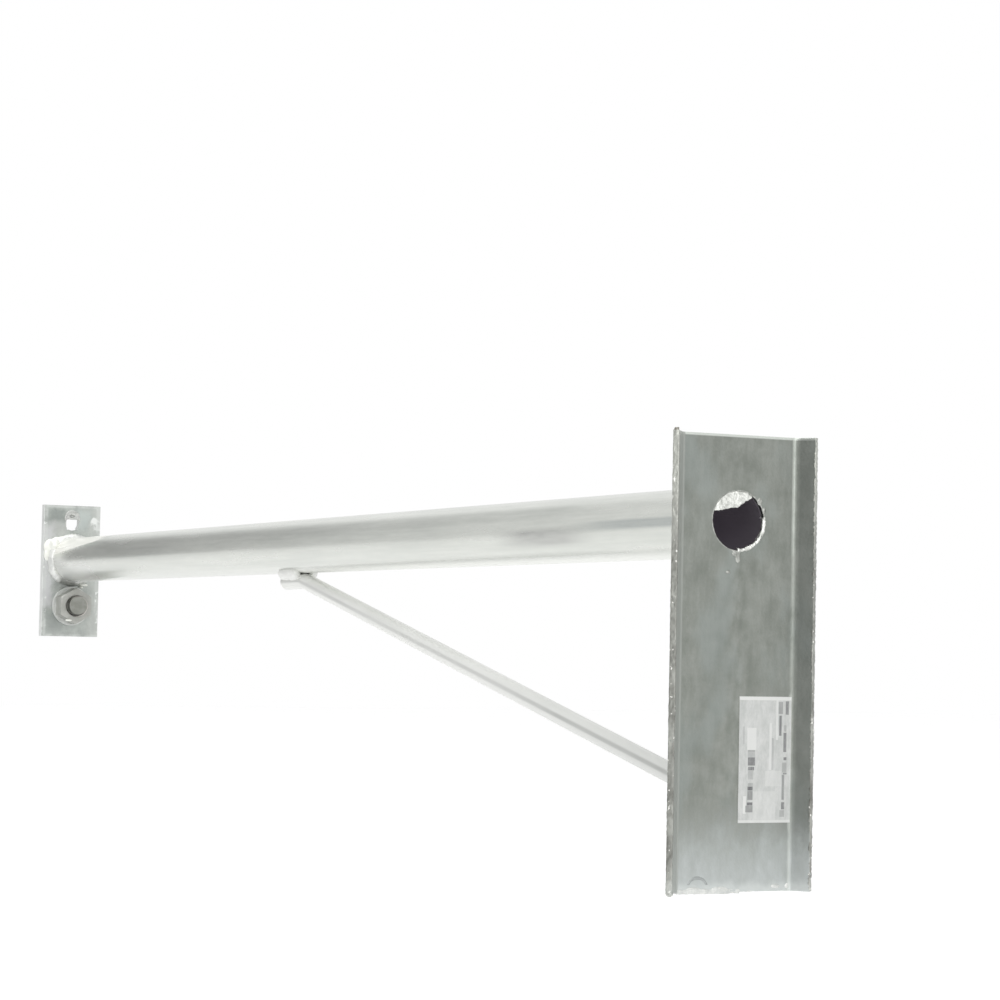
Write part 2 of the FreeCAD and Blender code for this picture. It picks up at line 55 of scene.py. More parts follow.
bpy.ops.object.camera_add(location=camera_place, rotation=turned)
camera = bpy.context.object
camera.data.sensor_width = 36.0
camera.data.lens = 104.92
bpy.context.scene.camera = camera


# Light. A white surrounding with large soft lamps, at which a colour renders about as it is written.
# Two grey cards stand out of view: the galvanised tube mirrors one in its upper half, the far lip the other.
class Wire:
    """One output of a material's nodes, to work with as if it were a number. With no socket it only adds
    nodes."""

    def __init__(self, tree, socket=None):
        self.tree = tree
        self.socket = socket

    def node(self, kind, settings, inputs, output=0):
        """Adds a node: first its settings, then values or links for its sockets, by number or name."""
        made = self.tree.nodes.new(kind)
        for name, value in settings.items():
            setattr(made, name, value)
        for place, value in inputs.items():
            if isinstance(value, Wire):
                self.tree.links.new(value.socket, made.inputs[place])
            else:
                made.inputs[place].default_value = value
        return Wire(self.tree, made.outputs[output])

    def beside(self, output):
        """Another output of the same node, by number or name."""
        return Wire(self.tree, self.socket.node.outputs[output])

    def maths(self, operation, first, second=0.0):
        return self.node("ShaderNodeMath", {"operation": operation}, {0: first, 1: second})

    def __add__(self, other):
        return self.maths("ADD", self, other)

    __radd__ = __add__

    def __sub__(self, other):
        return self.maths("SUBTRACT", self, other)

    def __rsub__(self, other):
        return self.maths("SUBTRACT", other, self)

    def __mul__(self, other):
        return self.maths("MULTIPLY", self, other)

    __rmul__ = __mul__

    def __abs__(self):
        return self.maths("ABSOLUTE", self)

    def rise(self, start, end):
        """0 below start, 1 above end, and a smooth step between them. It falls where start is above end."""
        return self.node("ShaderNodeMapRange", {"interpolation_type": "SMOOTHSTEP"},
                         {"Value": self, "From Min": start, "From Max": end})

    def within(self, low, high, soft):
        """1 between low and high, falling to 0 over the soft width outside them."""
        return self.rise(low - soft, low) * self.rise(high + soft, high)

    def either(self, other):
        return self.maths("MAXIMUM", self, other)

    def at_most(self, limit):
        return self.maths("MINIMUM", self, limit)

    def root(self):
        return self.maths("SQRT", self)

    def mix(self, plain, marked):
        """The plain colour where this mask is 0 and the marked one where it is 1."""
        sockets = {0: self, 6: colour(plain), 7: colour(marked)}
        return self.node("ShaderNodeMix", {"data_type": "RGBA"}, sockets, output=2)


def colour(value):
    """A grey or a red, green and blue triple as a colour with its alpha; a wire stays as it is."""
    if isinstance(value, Wire):
        return value
    if isinstance(value, (int, float)):
        return (value, value, value, 1.0)
    return (*value, 1.0)


def seen_ray(tree):
    """1 for rays from the camera and for those that metal and glass mirror, 0 for the light's own."""
    camera_ray = Wire(tree).node("ShaderNodeLightPath", {}, {}, "Is Camera Ray")
    mirrored = camera_ray.beside("Is Glossy Ray").either(camera_ray.beside("Is Transmission Ray"))
    return camera_ray.either(mirrored)


SURROUND_LIGHT = 0.62
world = bpy.data.worlds.new("studio")
bpy.context.scene.world = world
world.use_nodes = True
backdrop = world.node_tree.nodes["Background"]
backdrop.inputs["Color"].default_value = (1, 1, 1, 1)
seen = seen_ray(world.node_tree)
world.node_tree.links.new((SURROUND_LIGHT + (1 - SURROUND_LIGHT) * seen).socket, backdrop.inputs["Strength"])


def add_lamp(name, place, target, size, watts):
    aim = (Vector(target) - Vector(place)).to_track_quat("-Z", "Y").to_euler()
    bpy.ops.object.light_add(type="AREA", location=place, rotation=aim)
    lamp = bpy.context.object
    lamp.name = name
    lamp.data.shape = "SQUARE"
    lamp.data.size = size
    lamp.data.energy = watts


# Each lamp: where it hangs, where it points, its width in metres and its watts
add_lamp("lamp_over", (0.2, 0.8, 5.2), (0.4, 0, 0), 3.2, 104)
add_lamp("lamp_front", (-6.8, 2.1, 2.8), (0.1, 0, -0.05), 3.6, 117)


def add_card(name, place, turn, width, height, shade):
    """A card that stands out of view and is only mirrored by the metal. shade gives its grey from Y and Z."""
    bpy.ops.mesh.primitive_plane_add(size=1, location=place, rotation=turn)
    card = bpy.context.object
    card.name = name
    card.scale = (width, height, 1)
    bpy.ops.object.transform_apply(location=True, rotation=True, scale=True)
    card.visible_camera = False
    card.visible_shadow = False
    card.visible_diffuse = False
    material = bpy.data.materials.new(name)
    material.use_nodes = True
    tree = material.node_tree
    spot = Wire(tree).node("ShaderNodeTexCoord", {}, {}, "Object")
    along_x = spot.node("ShaderNodeSeparateXYZ", {}, {0: spot})
    grey = shade(along_x.beside(1), along_x.beside(2))
    glow = grey.node("ShaderNodeEmission", {}, {"Color": grey})
    tree.links.new(glow.socket, tree.nodes["Material Output"].inputs["Surface"])
    card.data.materials.append(material)


def fading_grey(card_y, card_z):
    """Darkest near the tube's line, fading to white outwards and on the card's left side."""
    outwards = (card_y * card_y + card_z * card_z).root()
    grey = 0.125 + outwards * 0.54 - card_z * 0.2 - outwards.rise(1.3, 0.85) * 0.22
    return 1 - (1 - grey.at_most(1.0)) * card_y.rise(-0.35, 0.25)


def even_grey(card_y, card_z):
    """The same middle grey all over."""
    return card_y * 0 + 0.45


add_card("card_beyond_the_tip", (3.6, 0.925, 1.06), (math.pi / 2, 0, math.pi / 2), 2.55, 2.28, fading_grey)
add_card("card_on_the_left", (-0.6, 2.4, 0.2), (math.pi / 2, 0, 0), 1.6, 1.6, even_grey)

# Floor. Plain and pale, well below the arm, which is held by its back plate and stands on nothing. It glows
# a little towards the camera, so that it runs into the white surrounding, and it keeps the arm's shadow.
FLOOR_DROP = -0.45
FLOOR_PALE = 0.86
FLOOR_GLOW = 0.42
bpy.ops.mesh.primitive_plane_add(size=30, location=(0.5, 0, FLOOR_DROP))
floor = bpy.context.object
floor.name = "floor"
pale = bpy.data.materials.new("pale_floor")
pale.use_nodes = True
floor_tree = pale.node_tree
floor_shader = floor_tree.nodes["Principled BSDF"]
floor_shader.inputs["Base Color"].default_value = colour(FLOOR_PALE)
floor_shader.inputs["Roughness"].default_value = 0.9
floor_shader.inputs["Emission Color"].default_value = (1, 1, 1, 1)
floor_tree.links.new((FLOOR_GLOW * seen_ray(floor_tree)).socket, floor_shader.inputs["Emission Strength"])
floor.data.materials.append(pale)

# Back plate. One piece of 3 mm steel sheet with a punched hole in line with the tube, folded in a press
# so that a lip splays towards the pole down each side. Like all the steel here it was dipped in molten
# zinc, which froze on it as a grey skin with faint upright clouds.
MM = 0.001
plate_low, plate_high = (Vector(corner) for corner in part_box("back_plate"))
SHEET = plate_high.x
PLATE_TOP = plate_high.z
PLATE_FOOT = plate_low.z
PLATE_HEIGHT = PLATE_TOP - PLATE_FOOT
PLATE_MIDDLE = (PLATE_TOP + PLATE_FOOT) / 2
FLAT_HALF = 28.8 * MM
FOLD_RADIUS = 3 * MM
FOLD_ANGLE = math.radians(50)
FOLD_STEPS = 8
LIP = 8.7 * MM
HOLE_RADIUS = 14 * MM
SHARP_FROM = math.radians(35)


def shaped(name):
    """The object just added, named, with its place, turn and size kept in its mesh."""
    made = bpy.context.object
    made.name = name
    bpy.ops.object.transform_apply(location=True, rotation=True, scale=True)
    return made


def box_piece(name, place, size, turn=(0, 0, 0)):
    bpy.ops.mesh.primitive_cube_add(size=1, location=place, rotation=turn, scale=size)
    return shaped(name)


def rod_piece(name, place, radius, length, rounds=96):
    """A round bar that lies along X."""
    bpy.ops.mesh.primitive_cylinder_add(vertices=rounds, radius=radius, depth=length, location=place,
                                        rotation=(0, math.pi / 2, 0))
    return shaped(name)


def take_up(*pieces):
    """Selects these pieces alone and makes the first the active one."""
    bpy.ops.object.select_all(action="DESELECT")
    for piece in pieces:
        piece.select_set(True)
    bpy.context.view_layer.objects.active = pieces[0]


def open_up(piece):
    """Edit mode on the piece, with nothing selected."""
    take_up(piece)
    bpy.ops.object.mode_set(mode="EDIT")
    bpy.ops.mesh.select_mode(type="FACE")
    bpy.ops.mesh.select_all(action="DESELECT")


def close_up():
    bpy.ops.mesh.select_all(action="SELECT")
    bpy.ops.mesh.normals_make_consistent(inside=False)
    bpy.ops.object.mode_set(mode="OBJECT")


def pick(piece, wanted):
    """In edit mode, selects the faces that pass the test, and nothing else."""
    bpy.ops.mesh.select_all(action="DESELECT")
    mesh = bmesh.from_edit_mesh(piece.data)
    for face in mesh.faces:
        if wanted(face):
            face.select_set(True)
    mesh.select_flush_mode()
    bmesh.update_edit_mesh(piece.data)


def apply(piece, kind, **settings):
    """Finishes the piece with a modifier of that kind."""
    take_up(piece)
    modifier = piece.modifiers.new(kind.lower(), kind)
    for name, value in settings.items():
        setattr(modifier, name, value)
    bpy.ops.object.modifier_apply(modifier=modifier.name)


def cut_with(piece, tool, operation="DIFFERENCE"):
    apply(piece, "BOOLEAN", operation=operation, solver="EXACT", object=tool)
    bpy.data.objects.remove(tool)


def soft_edges(piece, width):
    apply(piece, "BEVEL", width=width, segments=3, limit_method="ANGLE", angle_limit=SHARP_FROM,
          use_clamp_overlap=True)
    take_up(piece)
    bpy.ops.object.shade_smooth_by_angle(angle=SHARP_FROM)
    apply(piece, "WEIGHTED_NORMAL", keep_sharp=True)


plate = box_piece("folded_plate", (SHEET / 2, 0, PLATE_MIDDLE), (SHEET, 2 * FLAT_HALF, PLATE_HEIGHT))
open_up(plate)
for side in (1, -1):
    pick(plate, lambda face: face.normal.y * side > 0.9)
    bpy.ops.mesh.spin(steps=FOLD_STEPS, angle=-side * FOLD_ANGLE, axis=(0, 0, 1),
                      center=(-FOLD_RADIUS, side * FLAT_HALF, 0))
    lip_run = (-LIP * math.sin(FOLD_ANGLE), side * LIP * math.cos(FOLD_ANGLE), 0)
    bpy.ops.mesh.extrude_region_move(TRANSFORM_OT_translate={"value": lip_run})
close_up()
cut_with(plate, rod_piece("punch", (0, 0, 0), HOLE_RADIUS, 4 * SHEET))
soft_edges(plate, 0.45 * MM)


def new_finish(name, roughness, metallic=1.0):
    """A material, its shader and the wires of the surface's own place: all three, then X, Y and Z."""
    material = bpy.data.materials.new(name)
    material.use_nodes = True
    shader = material.node_tree.nodes["Principled BSDF"]
    shader.inputs["Roughness"].default_value = roughness
    shader.inputs["Metallic"].default_value = metallic
    place = Wire(material.node_tree).node("ShaderNodeTexCoord", {}, {}, "Object")
    along_x = place.node("ShaderNodeSeparateXYZ", {}, {0: place})
    return material, shader, place, along_x, along_x.beside(1), along_x.beside(2)


def feed(shader, **wires):
    """Links wires to the shader's sockets: base_color feeds Base Color, and so on."""
    for name, wire in wires.items():
        shader.id_data.links.new(wire.socket, shader.inputs[name.replace("_", " ").title()])


def clouds(place, stretch, detail=2.0, rough=0.5):
    """Cloudy noise about 0.5 in the middle. stretch gives how many clouds go to a metre each way."""
    scaled = place.node("ShaderNodeVectorMath", {"operation": "MULTIPLY"}, {0: place, 1: stretch})
    return place.node("ShaderNodeTexNoise", {}, {
        "Vector": scaled, "Scale": 1.0, "Detail": detail, "Roughness": rough})


def bump(height, depth, strength=1.0):
    return height.node("ShaderNodeBump", {}, {"Strength": strength, "Distance": depth, "Height": height})


def plate_finish():
    """Dull greenish zinc with blotches, paler and bluer towards the foot, with a painted highlight along the
    top edge and the right fold, a painted dark reflection on the right lip and painted light on the left
    lip's pole side."""
    material, shader, place, along_x, along_y, along_z = new_finish("plate_zinc", 0.5)
    cloud = clouds(place, (75, 85, 50), 5.0, 0.62)
    patch = clouds(place, (180, 200, 100), 3.0, 0.6)
    blue = clouds(place, (40, 45, 24), 3.0)
    streak = clouds(place, (200, 240, 30), 2.0)
    grain = clouds(place, (900, 900, 900), 1.0)
    shade = (cloud - 0.5) * 1.7 + (patch - 0.5) * 1.0 + (streak - 0.5) * 0.4 + (grain - 0.5) * 0.35
    steel = shade.rise(-0.75, 0.75).mix((0.2, 0.215, 0.192), (0.325, 0.34, 0.315))
    steel = (blue.rise(0.48, 0.68) * 0.4).mix(steel, (0.275, 0.31, 0.3))
    foot = (along_z + (cloud - 0.5) * 0.05 + (patch - 0.5) * 0.02).rise(-0.128, -0.172)
    steel = (foot * (0.85 + (patch - 0.5) * 0.7)).mix(steel, (0.5, 0.53, 0.525))
    hem = (along_z + (patch - 0.5) * (8 * MM)).rise(PLATE_FOOT + 6 * MM, PLATE_FOOT + 1.5 * MM)
    steel = (hem * 0.6).mix(steel, (0.62, 0.65, 0.635))
    # Painted highlight: a pale line along the top edge
    top = along_z.rise(PLATE_TOP - 1.5 * MM, PLATE_TOP - 0.9 * MM)
    steel = top.mix(steel, (0.6, 0.63, 0.59))
    right = 0 - along_y
    # Painted highlight: a pale line along the right fold, strongest at the top, beside the label and at the
    # foot
    painted_fold_highlight = right.within(FLAT_HALF + 0.2 * MM, FLAT_HALF + 1.1 * MM, 0.5 * MM)
    painted_fold_highlight = painted_fold_highlight * along_x.rise(1.2 * MM, 0.2 * MM)
    shine = 0.1 + along_z.rise(-0.028, 0.004) * 0.5 + along_z.within(-0.142, -0.082, 0.004) * 0.3 + foot * 0.2
    steel = (painted_fold_highlight * (shine + (patch - 0.5) * 0.9)).mix(steel, (0.5, 0.53, 0.49))
    # Painted reflection: the right lip is darker, less so towards the foot
    painted_lip_reflection = right.rise(FLAT_HALF + 2.3 * MM, FLAT_HALF + 3.4 * MM)
    steel = (painted_lip_reflection * (0.4 - foot * 0.4)).mix(steel, (0.12, 0.13, 0.12))
    # The left lip's pole side lies in the folds' own shade; painted light makes its zinc paler there, and it
    # is duller
    depth = (along_x + FOLD_RADIUS) * math.cos(FOLD_ANGLE) + (along_y - FLAT_HALF) * math.sin(FOLD_ANGLE)
    painted_light_in_fold = along_y.rise(FLAT_HALF, FLAT_HALF + 1.2 * MM) * depth.rise(5 * MM, 4 * MM)
    steel = (painted_light_in_fold * 0.8).mix(steel, (0.44, 0.46, 0.43))
    feed(shader, base_color=steel, roughness=0.47 + (cloud - 0.5) * 0.25 + (grain - 0.5) * 0.1,
         metallic=1 - painted_light_in_fold * 0.85, normal=bump(cloud + streak * 0.2 + grain * 0.25, 0.5 * MM, 0.4))
    return material


def fit(piece, material, slot, *stood_for):
    """Gives a finished piece its material, lets it ride, and hides the nodes it stands for. The slot is not
    used.
    """
    piece.data.materials.clear()
    piece.data.materials.append(material)
    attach(piece, "root")
    if stood_for:
        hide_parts(*stood_for)


fit(plate, plate_finish(), "galvanised_plate", "back_plate")


# Frozen zinc on the back plate. It stands in lumps on the sheared edges, drips below the hole, and
# fills the hole's upper left corner with a brittle flap. It froze there as the plate came out of the bath.
def lump_finish(name, dark, light, roughness, grain, metallic=1.0):
    """Zinc of two tones in small grains: grain gives how many go to a metre."""
    material, shader, place, *_ = new_finish(name, roughness, metallic)
    cloud = clouds(place, (grain, grain, grain), 3.0, 0.6)
    fine = clouds(place, (4 * grain, 4 * grain, 4 * grain), 2.0)
    shade = (cloud - 0.5) * 2.2 + (fine - 0.5) * 0.8
    feed(shader, base_color=shade.rise(-0.6, 0.6).mix(dark, light), roughness=roughness + (fine - 0.5) * 0.2,
         normal=bump(fine, 0.3 * MM, 0.5))
    return material


def edge_finish():
    """Grey zinc along the sheared edges, paler at the top, with dark spots and a few painted glints."""
    material, shader, place, along_x, along_y, along_z = new_finish("edge_zinc", 0.42)
    cloud = clouds(place, (130, 130, 75), 3.0, 0.6)
    fine = clouds(place, (800, 800, 420), 2.0)
    shade = (cloud - 0.5) * 2.2 + (fine - 0.5) * 0.6
    steel = shade.rise(-0.65, 0.65).mix((0.17, 0.17, 0.155), (0.42, 0.43, 0.4))
    steel = (along_z.rise(-0.03, 0.02) * 0.7).mix(steel, (0.5, 0.51, 0.47))
    steel = (along_z.rise(PLATE_FOOT + 9 * MM, PLATE_FOOT + 3 * MM) * 0.6).mix(steel, (0.58, 0.6, 0.57))
    # Painted glints: a few bright specks
    painted_edge_glints = clouds(place, (560, 560, 420), 1.0).rise(0.68, 0.74)
    steel = painted_edge_glints.mix(steel, (0.84, 0.84, 0.8))
    cap = along_z.within(PLATE_TOP + 0.2 * MM, PLATE_TOP + 2 * MM, 0.4 * MM)
    steel = (cap * 0.7).mix(steel, (0.2, 0.18, 0.15))
    feed(shader, base_color=steel, roughness=0.42 + (fine - 0.5) * 0.2, normal=bump(fine, 0.3 * MM, 0.4))
    return material


def keep_above(piece, place, normal):
    """Cuts the piece with a plane and keeps what lies on the normal's side, closed where it was cut."""
    open_up(piece)
    bpy.ops.mesh.select_all(action="SELECT")
    bpy.ops.mesh.bisect(plane_co=place, plane_no=Vector(normal).normalized(), use_fill=True, clear_inner=True)
    close_up()


def blob_piece(name, place, size):
    bpy.ops.mesh.primitive_uv_sphere_add(segments=20, ring_count=12, radius=1, location=place, scale=size)
    return shaped(name)


def joined(name, pieces):
    take_up(*pieces)
    bpy.ops.object.join()
    pieces[0].name = name
    return pieces[0]


def lumpy(piece, grain, height):
    """Pushes the skin in and out by up to half the height, in lumps about as large as the grain."""
    texture = bpy.data.textures.new(f"{piece.name}_lumps", "CLOUDS")
    texture.noise_scale = grain
    apply(piece, "DISPLACE", texture=texture, texture_coords="LOCAL", strength=height, mid_level=0.5)


def freeze(piece, skin, *lumps):
    """Runs the rough forms together into one skin, with lumps given as (grain, height), then softens it."""
    apply(piece, "REMESH", mode="VOXEL", voxel_size=skin)
    for grain, height in lumps:
        lumpy(piece, grain, height)
    apply(piece, "SMOOTH", factor=0.5, iterations=2)
    bpy.ops.object.shade_smooth()


edge_zinc = edge_finish()
pale_zinc = lump_finish("pale_zinc", (0.5, 0.51, 0.48), (0.88, 0.89, 0.85), 0.4, 420)
grey_zinc = lump_finish("grey_zinc", (0.24, 0.25, 0.23), (0.5, 0.51, 0.48), 0.42, 300)
LIP_PROUD = 0.15 * MM
CRUST_DEPTH = 1.3 * MM
for side, name in ((1, "lip_crust_left"), (-1, "lip_crust_right")):
    across = Vector((math.cos(FOLD_ANGLE), side * math.sin(FOLD_ANGLE), 0))
    along = Vector((-math.sin(FOLD_ANGLE), side * math.cos(FOLD_ANGLE), 0))
    edge = Vector((-FOLD_RADIUS, side * FLAT_HALF, 0)) + across * (FOLD_RADIUS + SHEET / 2) + along * LIP
    middle = edge + along * (LIP_PROUD - CRUST_DEPTH / 2)
    strip = box_piece(name, (middle.x, middle.y, PLATE_MIDDLE), (SHEET, CRUST_DEPTH, PLATE_HEIGHT),
                      (0, 0, side * FOLD_ANGLE))
    forms = [strip]
    if side > 0:
        horn = edge - along * 0.9 * MM
        bpy.ops.mesh.primitive_cone_add(vertices=24, radius1=1.4 * MM, radius2=1.1 * MM, depth=4 * MM,
                                        location=(horn.x, horn.y, PLATE_TOP - 0.7 * MM))
        forms.append(shaped("horn"))
        forms.append(blob_piece("toe", (edge.x + 0.3 * MM, edge.y - 0.6 * MM, PLATE_FOOT + 0.3 * MM),
                                (1.9 * MM, 1.7 * MM, 1.4 * MM)))
    crust = joined(name, forms)
    freeze(crust, 0.4 * MM, (9 * MM, 0.25 * MM), (1.6 * MM, 0.45 * MM if side > 0 else 0.8 * MM))
    fit(crust, edge_zinc, "galvanised_plate")

foot_run = box_piece("foot_run", (SHEET / 2, 0.45 * FLAT_HALF, PLATE_FOOT + 0.4 * MM),
                     (SHEET + 0.2 * MM, 1.15 * FLAT_HALF, 2.2 * MM))
foot_forms = [foot_run, box_piece("far_foot", (SHEET / 2, -FLAT_HALF / 2, PLATE_FOOT + 0.35 * MM),
                                  (SHEET, FLAT_HALF, 0.5 * MM))]
# Lumps on the foot: where each stands in Y and above the edge, and its half width and half height, in mm
foot_lumps = ((-22.6, 2.3, 3.2, 1.2), (-29.0, 2.6, 1.6, 1.6), (7.5, 1.8, 5.0, 1.0), (21.0, 1.6, 4.0, 1.2))
foot_forms += [blob_piece("foot_lump", (0.3 * MM, y * MM, PLATE_FOOT + z * MM), (0.7 * MM, w * MM, h * MM))
               for y, z, w, h in foot_lumps]
foot_run = joined("foot_run", foot_forms)
freeze(foot_run, 0.35 * MM, (7 * MM, 1.3 * MM), (2.2 * MM, 0.4 * MM))
apply(foot_run, "SMOOTH", factor=0.5, iterations=4)
foot_zinc = lump_finish("foot_zinc", (0.6, 0.62, 0.6), (0.8, 0.81, 0.78), 0.45, 200, 0.5)
fit(foot_run, foot_zinc, "galvanised_plate")

flap = rod_piece("hole_flap", (1.3 * MM, 0, 0), HOLE_RADIUS + 0.2 * MM, 1.6 * MM)
# Its lower edge is broken off along two lines, each from a left point (Y, Z) to a right one, in mm
for left, right in (((13.9, 4.0), (-0.5, 6.4)), ((-0.5, 6.6), (-7.0, 10.9))):
    run = Vector((0, right[0] - left[0], right[1] - left[1])).normalized()
    keep_above(flap, (0, left[0] * MM, left[1] * MM), (0, run.z, -run.y))
freeze(flap, 0.35 * MM, (3 * MM, 1.2 * MM), (1.0 * MM, 0.9 * MM))
fit(flap, pale_zinc, "galvanised_plate")


def hole_ring(name, depth, radius, thickness):
    bpy.ops.mesh.primitive_torus_add(major_segments=96, minor_segments=12, major_radius=radius,
                                     minor_radius=thickness, location=(depth, 0, 0),
                                     rotation=(0, math.pi / 2, 0))
    return shaped(name)


# The punch left a soft burr all round, with drips of grey zinc on it. Each drip: where it hangs in Y and Z,
# and its half width and half height, in mm.
burr = hole_ring("hole_burr", 0.4 * MM, HOLE_RADIUS + 0.15 * MM, 0.5 * MM)
drips = [blob_piece("drip", (0.1 * MM, y * MM, z * MM), (0.45 * MM, w * MM, h * MM)) for y, z, w, h in (
    (1.0, -15.3, 2.6, 1.5), (0.0, -17.8, 1.6, 1.8), (5.3, -24.0, 1.4, 0.9), (-11.2, 9.4, 1.5, 1.9),
    (-13.6, 5.2, 1.0, 1.6))]
burr = joined("hole_burr", [burr, *drips])
freeze(burr, 0.3 * MM, (5 * MM, 0.5 * MM), (1.1 * MM, 0.4 * MM))
fit(burr, grey_zinc, "galvanised_plate")
# At the lower right the zinc stands white and thick inside the hole
rim = hole_ring("hole_rim", 0.5 * MM, HOLE_RADIUS - 0.2 * MM, 1.0 * MM)
rim = joined("hole_rim", [rim, hole_ring("inner_rim", 1.7 * MM, HOLE_RADIUS - 0.7 * MM, 1.1 * MM)])
keep_above(rim, (0, 0, -0.5 * MM), (0, -0.2, -1))
keep_above(rim, (0, -1 * MM, 0), (0, -1, -0.1))
freeze(rim, 0.3 * MM, (4 * MM, 0.9 * MM), (1.1 * MM, 0.8 * MM))
fit(rim, pale_zinc, "galvanised_plate")

# Ring mark. A thin raised ring of dull zinc that froze on the foot of the web. It ends above the lower
# edge, so that only its upper arc shows.
MARK_RADIUS = 5.3 * MM
MARK_THICKNESS = 1.1 * MM
MARK_FOOT = 3.6 * MM
bpy.ops.mesh.primitive_torus_add(major_segments=64, minor_segments=16, major_radius=MARK_RADIUS,
                                 minor_radius=MARK_THICKNESS, location=(0.85 * MM, 19.0 * MM, -170.0 * MM),
                                 rotation=(0, math.pi / 2, 0))
mark = shaped("ring_mark")
keep_above(mark, (0, 0, PLATE_FOOT + MARK_FOOT), (0, 0, 1))
lumpy(mark, 3 * MM, 0.25 * MM)
take_up(mark)
bpy.ops.object.shade_smooth()
fit(mark, lump_finish("mark_zinc", (0.29, 0.31, 0.305), (0.41, 0.43, 0.425), 0.5, 300), "galvanised_plate")

# Label. A matt paper sticker on the web, lapping a little over the right fold. It carries plain grey bars
# and fields only.
label_low, label_high = (Vector(corner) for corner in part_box("label"))
STICKER_LAP = math.radians(24)
sticker = box_piece("sticker", (label_low + label_high) / 2, label_high - label_low)
open_up(sticker)
pick(sticker, lambda face: face.normal.y < -0.9)
bpy.ops.mesh.spin(steps=5, angle=STICKER_LAP, axis=(0, 0, 1), center=(-FOLD_RADIUS, -FLAT_HALF, 0))
close_up()


def sticker_finish():
    """Off-white mottled paper; the bars lie along the upright sides of the sticker."""
    material, shader, place, along_x, along_y, along_z = new_finish("label_print", 0.75, 0.0)
    fibre = clouds(place, (700, 700, 260), 3.0, 0.7)
    worn = clouds(place, (190, 190, 110), 4.0, 0.65)
    sheet = (fibre * 0.35 + worn * 0.65).rise(0.3, 0.7).mix((0.58, 0.6, 0.58), (0.76, 0.77, 0.755))
    # Each field: left and right side from the sticker's left, top and foot from its top, in mm, and how
    # pale or dark it prints
    pale_fields = [
        (0, 28, 0.2, 1.6, 1.0), (0, 28, 57.3, 58.3, 0.7), (4.5, 9.2, 14.6, 24.7, 0.9),
        (2.7, 4.1, 46.2, 54.1, 1.0), (16.5, 17.6, 12.3, 33.9, 0.8), (14.4, 23.1, 34.5, 41.5, 0.4),
        (20, 20.9, 1.6, 20, 0.8), (8, 20, 44, 57, 0.3)]
    dark_fields = [
        (5.0, 8.6, 25.0, 25.4, 0.5), (5.0, 8.6, 25.6, 28.2, 0.25), (5.0, 8.6, 28.3, 31.9, 0.7),
        (5.2, 8.2, 32.7, 34.1, 0.75), (5.2, 7.7, 34.5, 38.3, 0.25), (5.2, 7.7, 40.2, 41.5, 0.3),
        (5.0, 7.6, 41.8, 43.4, 0.85), (5.0, 7.6, 43.8, 47.8, 0.55), (4.8, 7.6, 49.1, 50.3, 0.8),
        (4.0, 7.7, 50.6, 53.5, 0.55), (21.3, 23.4, 2.5, 7.9, 0.45), (21.7, 22.8, 8.9, 18.0, 0.7),
        (25.1, 26.6, 2.2, 8.2, 0.65), (24.3, 25.4, 13.3, 16.1, 0.3), (24.1, 25.5, 16.8, 25.6, 0.65),
        (24.3, 25.7, 28.2, 29.4, 0.7), (23.6, 25.8, 30.7, 35.0, 0.3), (24.1, 25.9, 35.4, 36.0, 0.6),
        (23.5, 24.6, 36.4, 47.8, 0.55), (23.3, 24.8, 49.1, 52.2, 0.7), (22.5, 24.9, 52.8, 55.7, 0.3),
        (17.7, 18.7, 19.3, 33.9, 0.22), (2.2, 2.9, 14, 22, 0.2)]

    def field(left, right, top, foot, strength):
        across = (label_high.y - along_y).within(left * MM, right * MM, 0.2 * MM)
        down = (label_high.z - along_z).within(top * MM, foot * MM, 0.2 * MM)
        return across * down * strength

    pale = worn * 0.0
    for sizes in pale_fields:
        pale = pale.either(field(*sizes))
    ink = worn * 0.0
    for sizes in dark_fields:
        ink = ink.either(field(*sizes))
    broken = fibre.rise(0.2, 0.55) * 0.5 + 0.5
    paper = pale.mix(sheet, (0.84, 0.85, 0.83))
    paper = (ink * broken).mix(paper, (0.09, 0.09, 0.1))
    feed(shader, base_color=paper, normal=bump(fibre, 0.05 * MM, 0.3))
    return material


fit(sticker, sticker_finish(), "label_paper", "label")

# Arm tube. A drawn steel tube 33.7 mm thick, open towards the hole in the web. It is butted on the web's arm
# side and on the flat bar at the tip, and welded round at both ends.
tube_low, tube_high = (Vector(corner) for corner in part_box("arm_tube"))
TUBE_RADIUS = tube_high.z
TUBE_WALL = 2.9 * MM
TUBE_END = tube_high.x
bpy.ops.mesh.primitive_cylinder_add(vertices=128, radius=TUBE_RADIUS, depth=TUBE_END - SHEET,
                                    end_fill_type="NOTHING", location=((TUBE_END + SHEET) / 2, 0, 0),
                                    rotation=(0, math.pi / 2, 0))
tube = shaped("drawn_tube")
apply(tube, "SOLIDIFY", thickness=TUBE_WALL, offset=-1)
soft_edges(tube, 0.25 * MM)


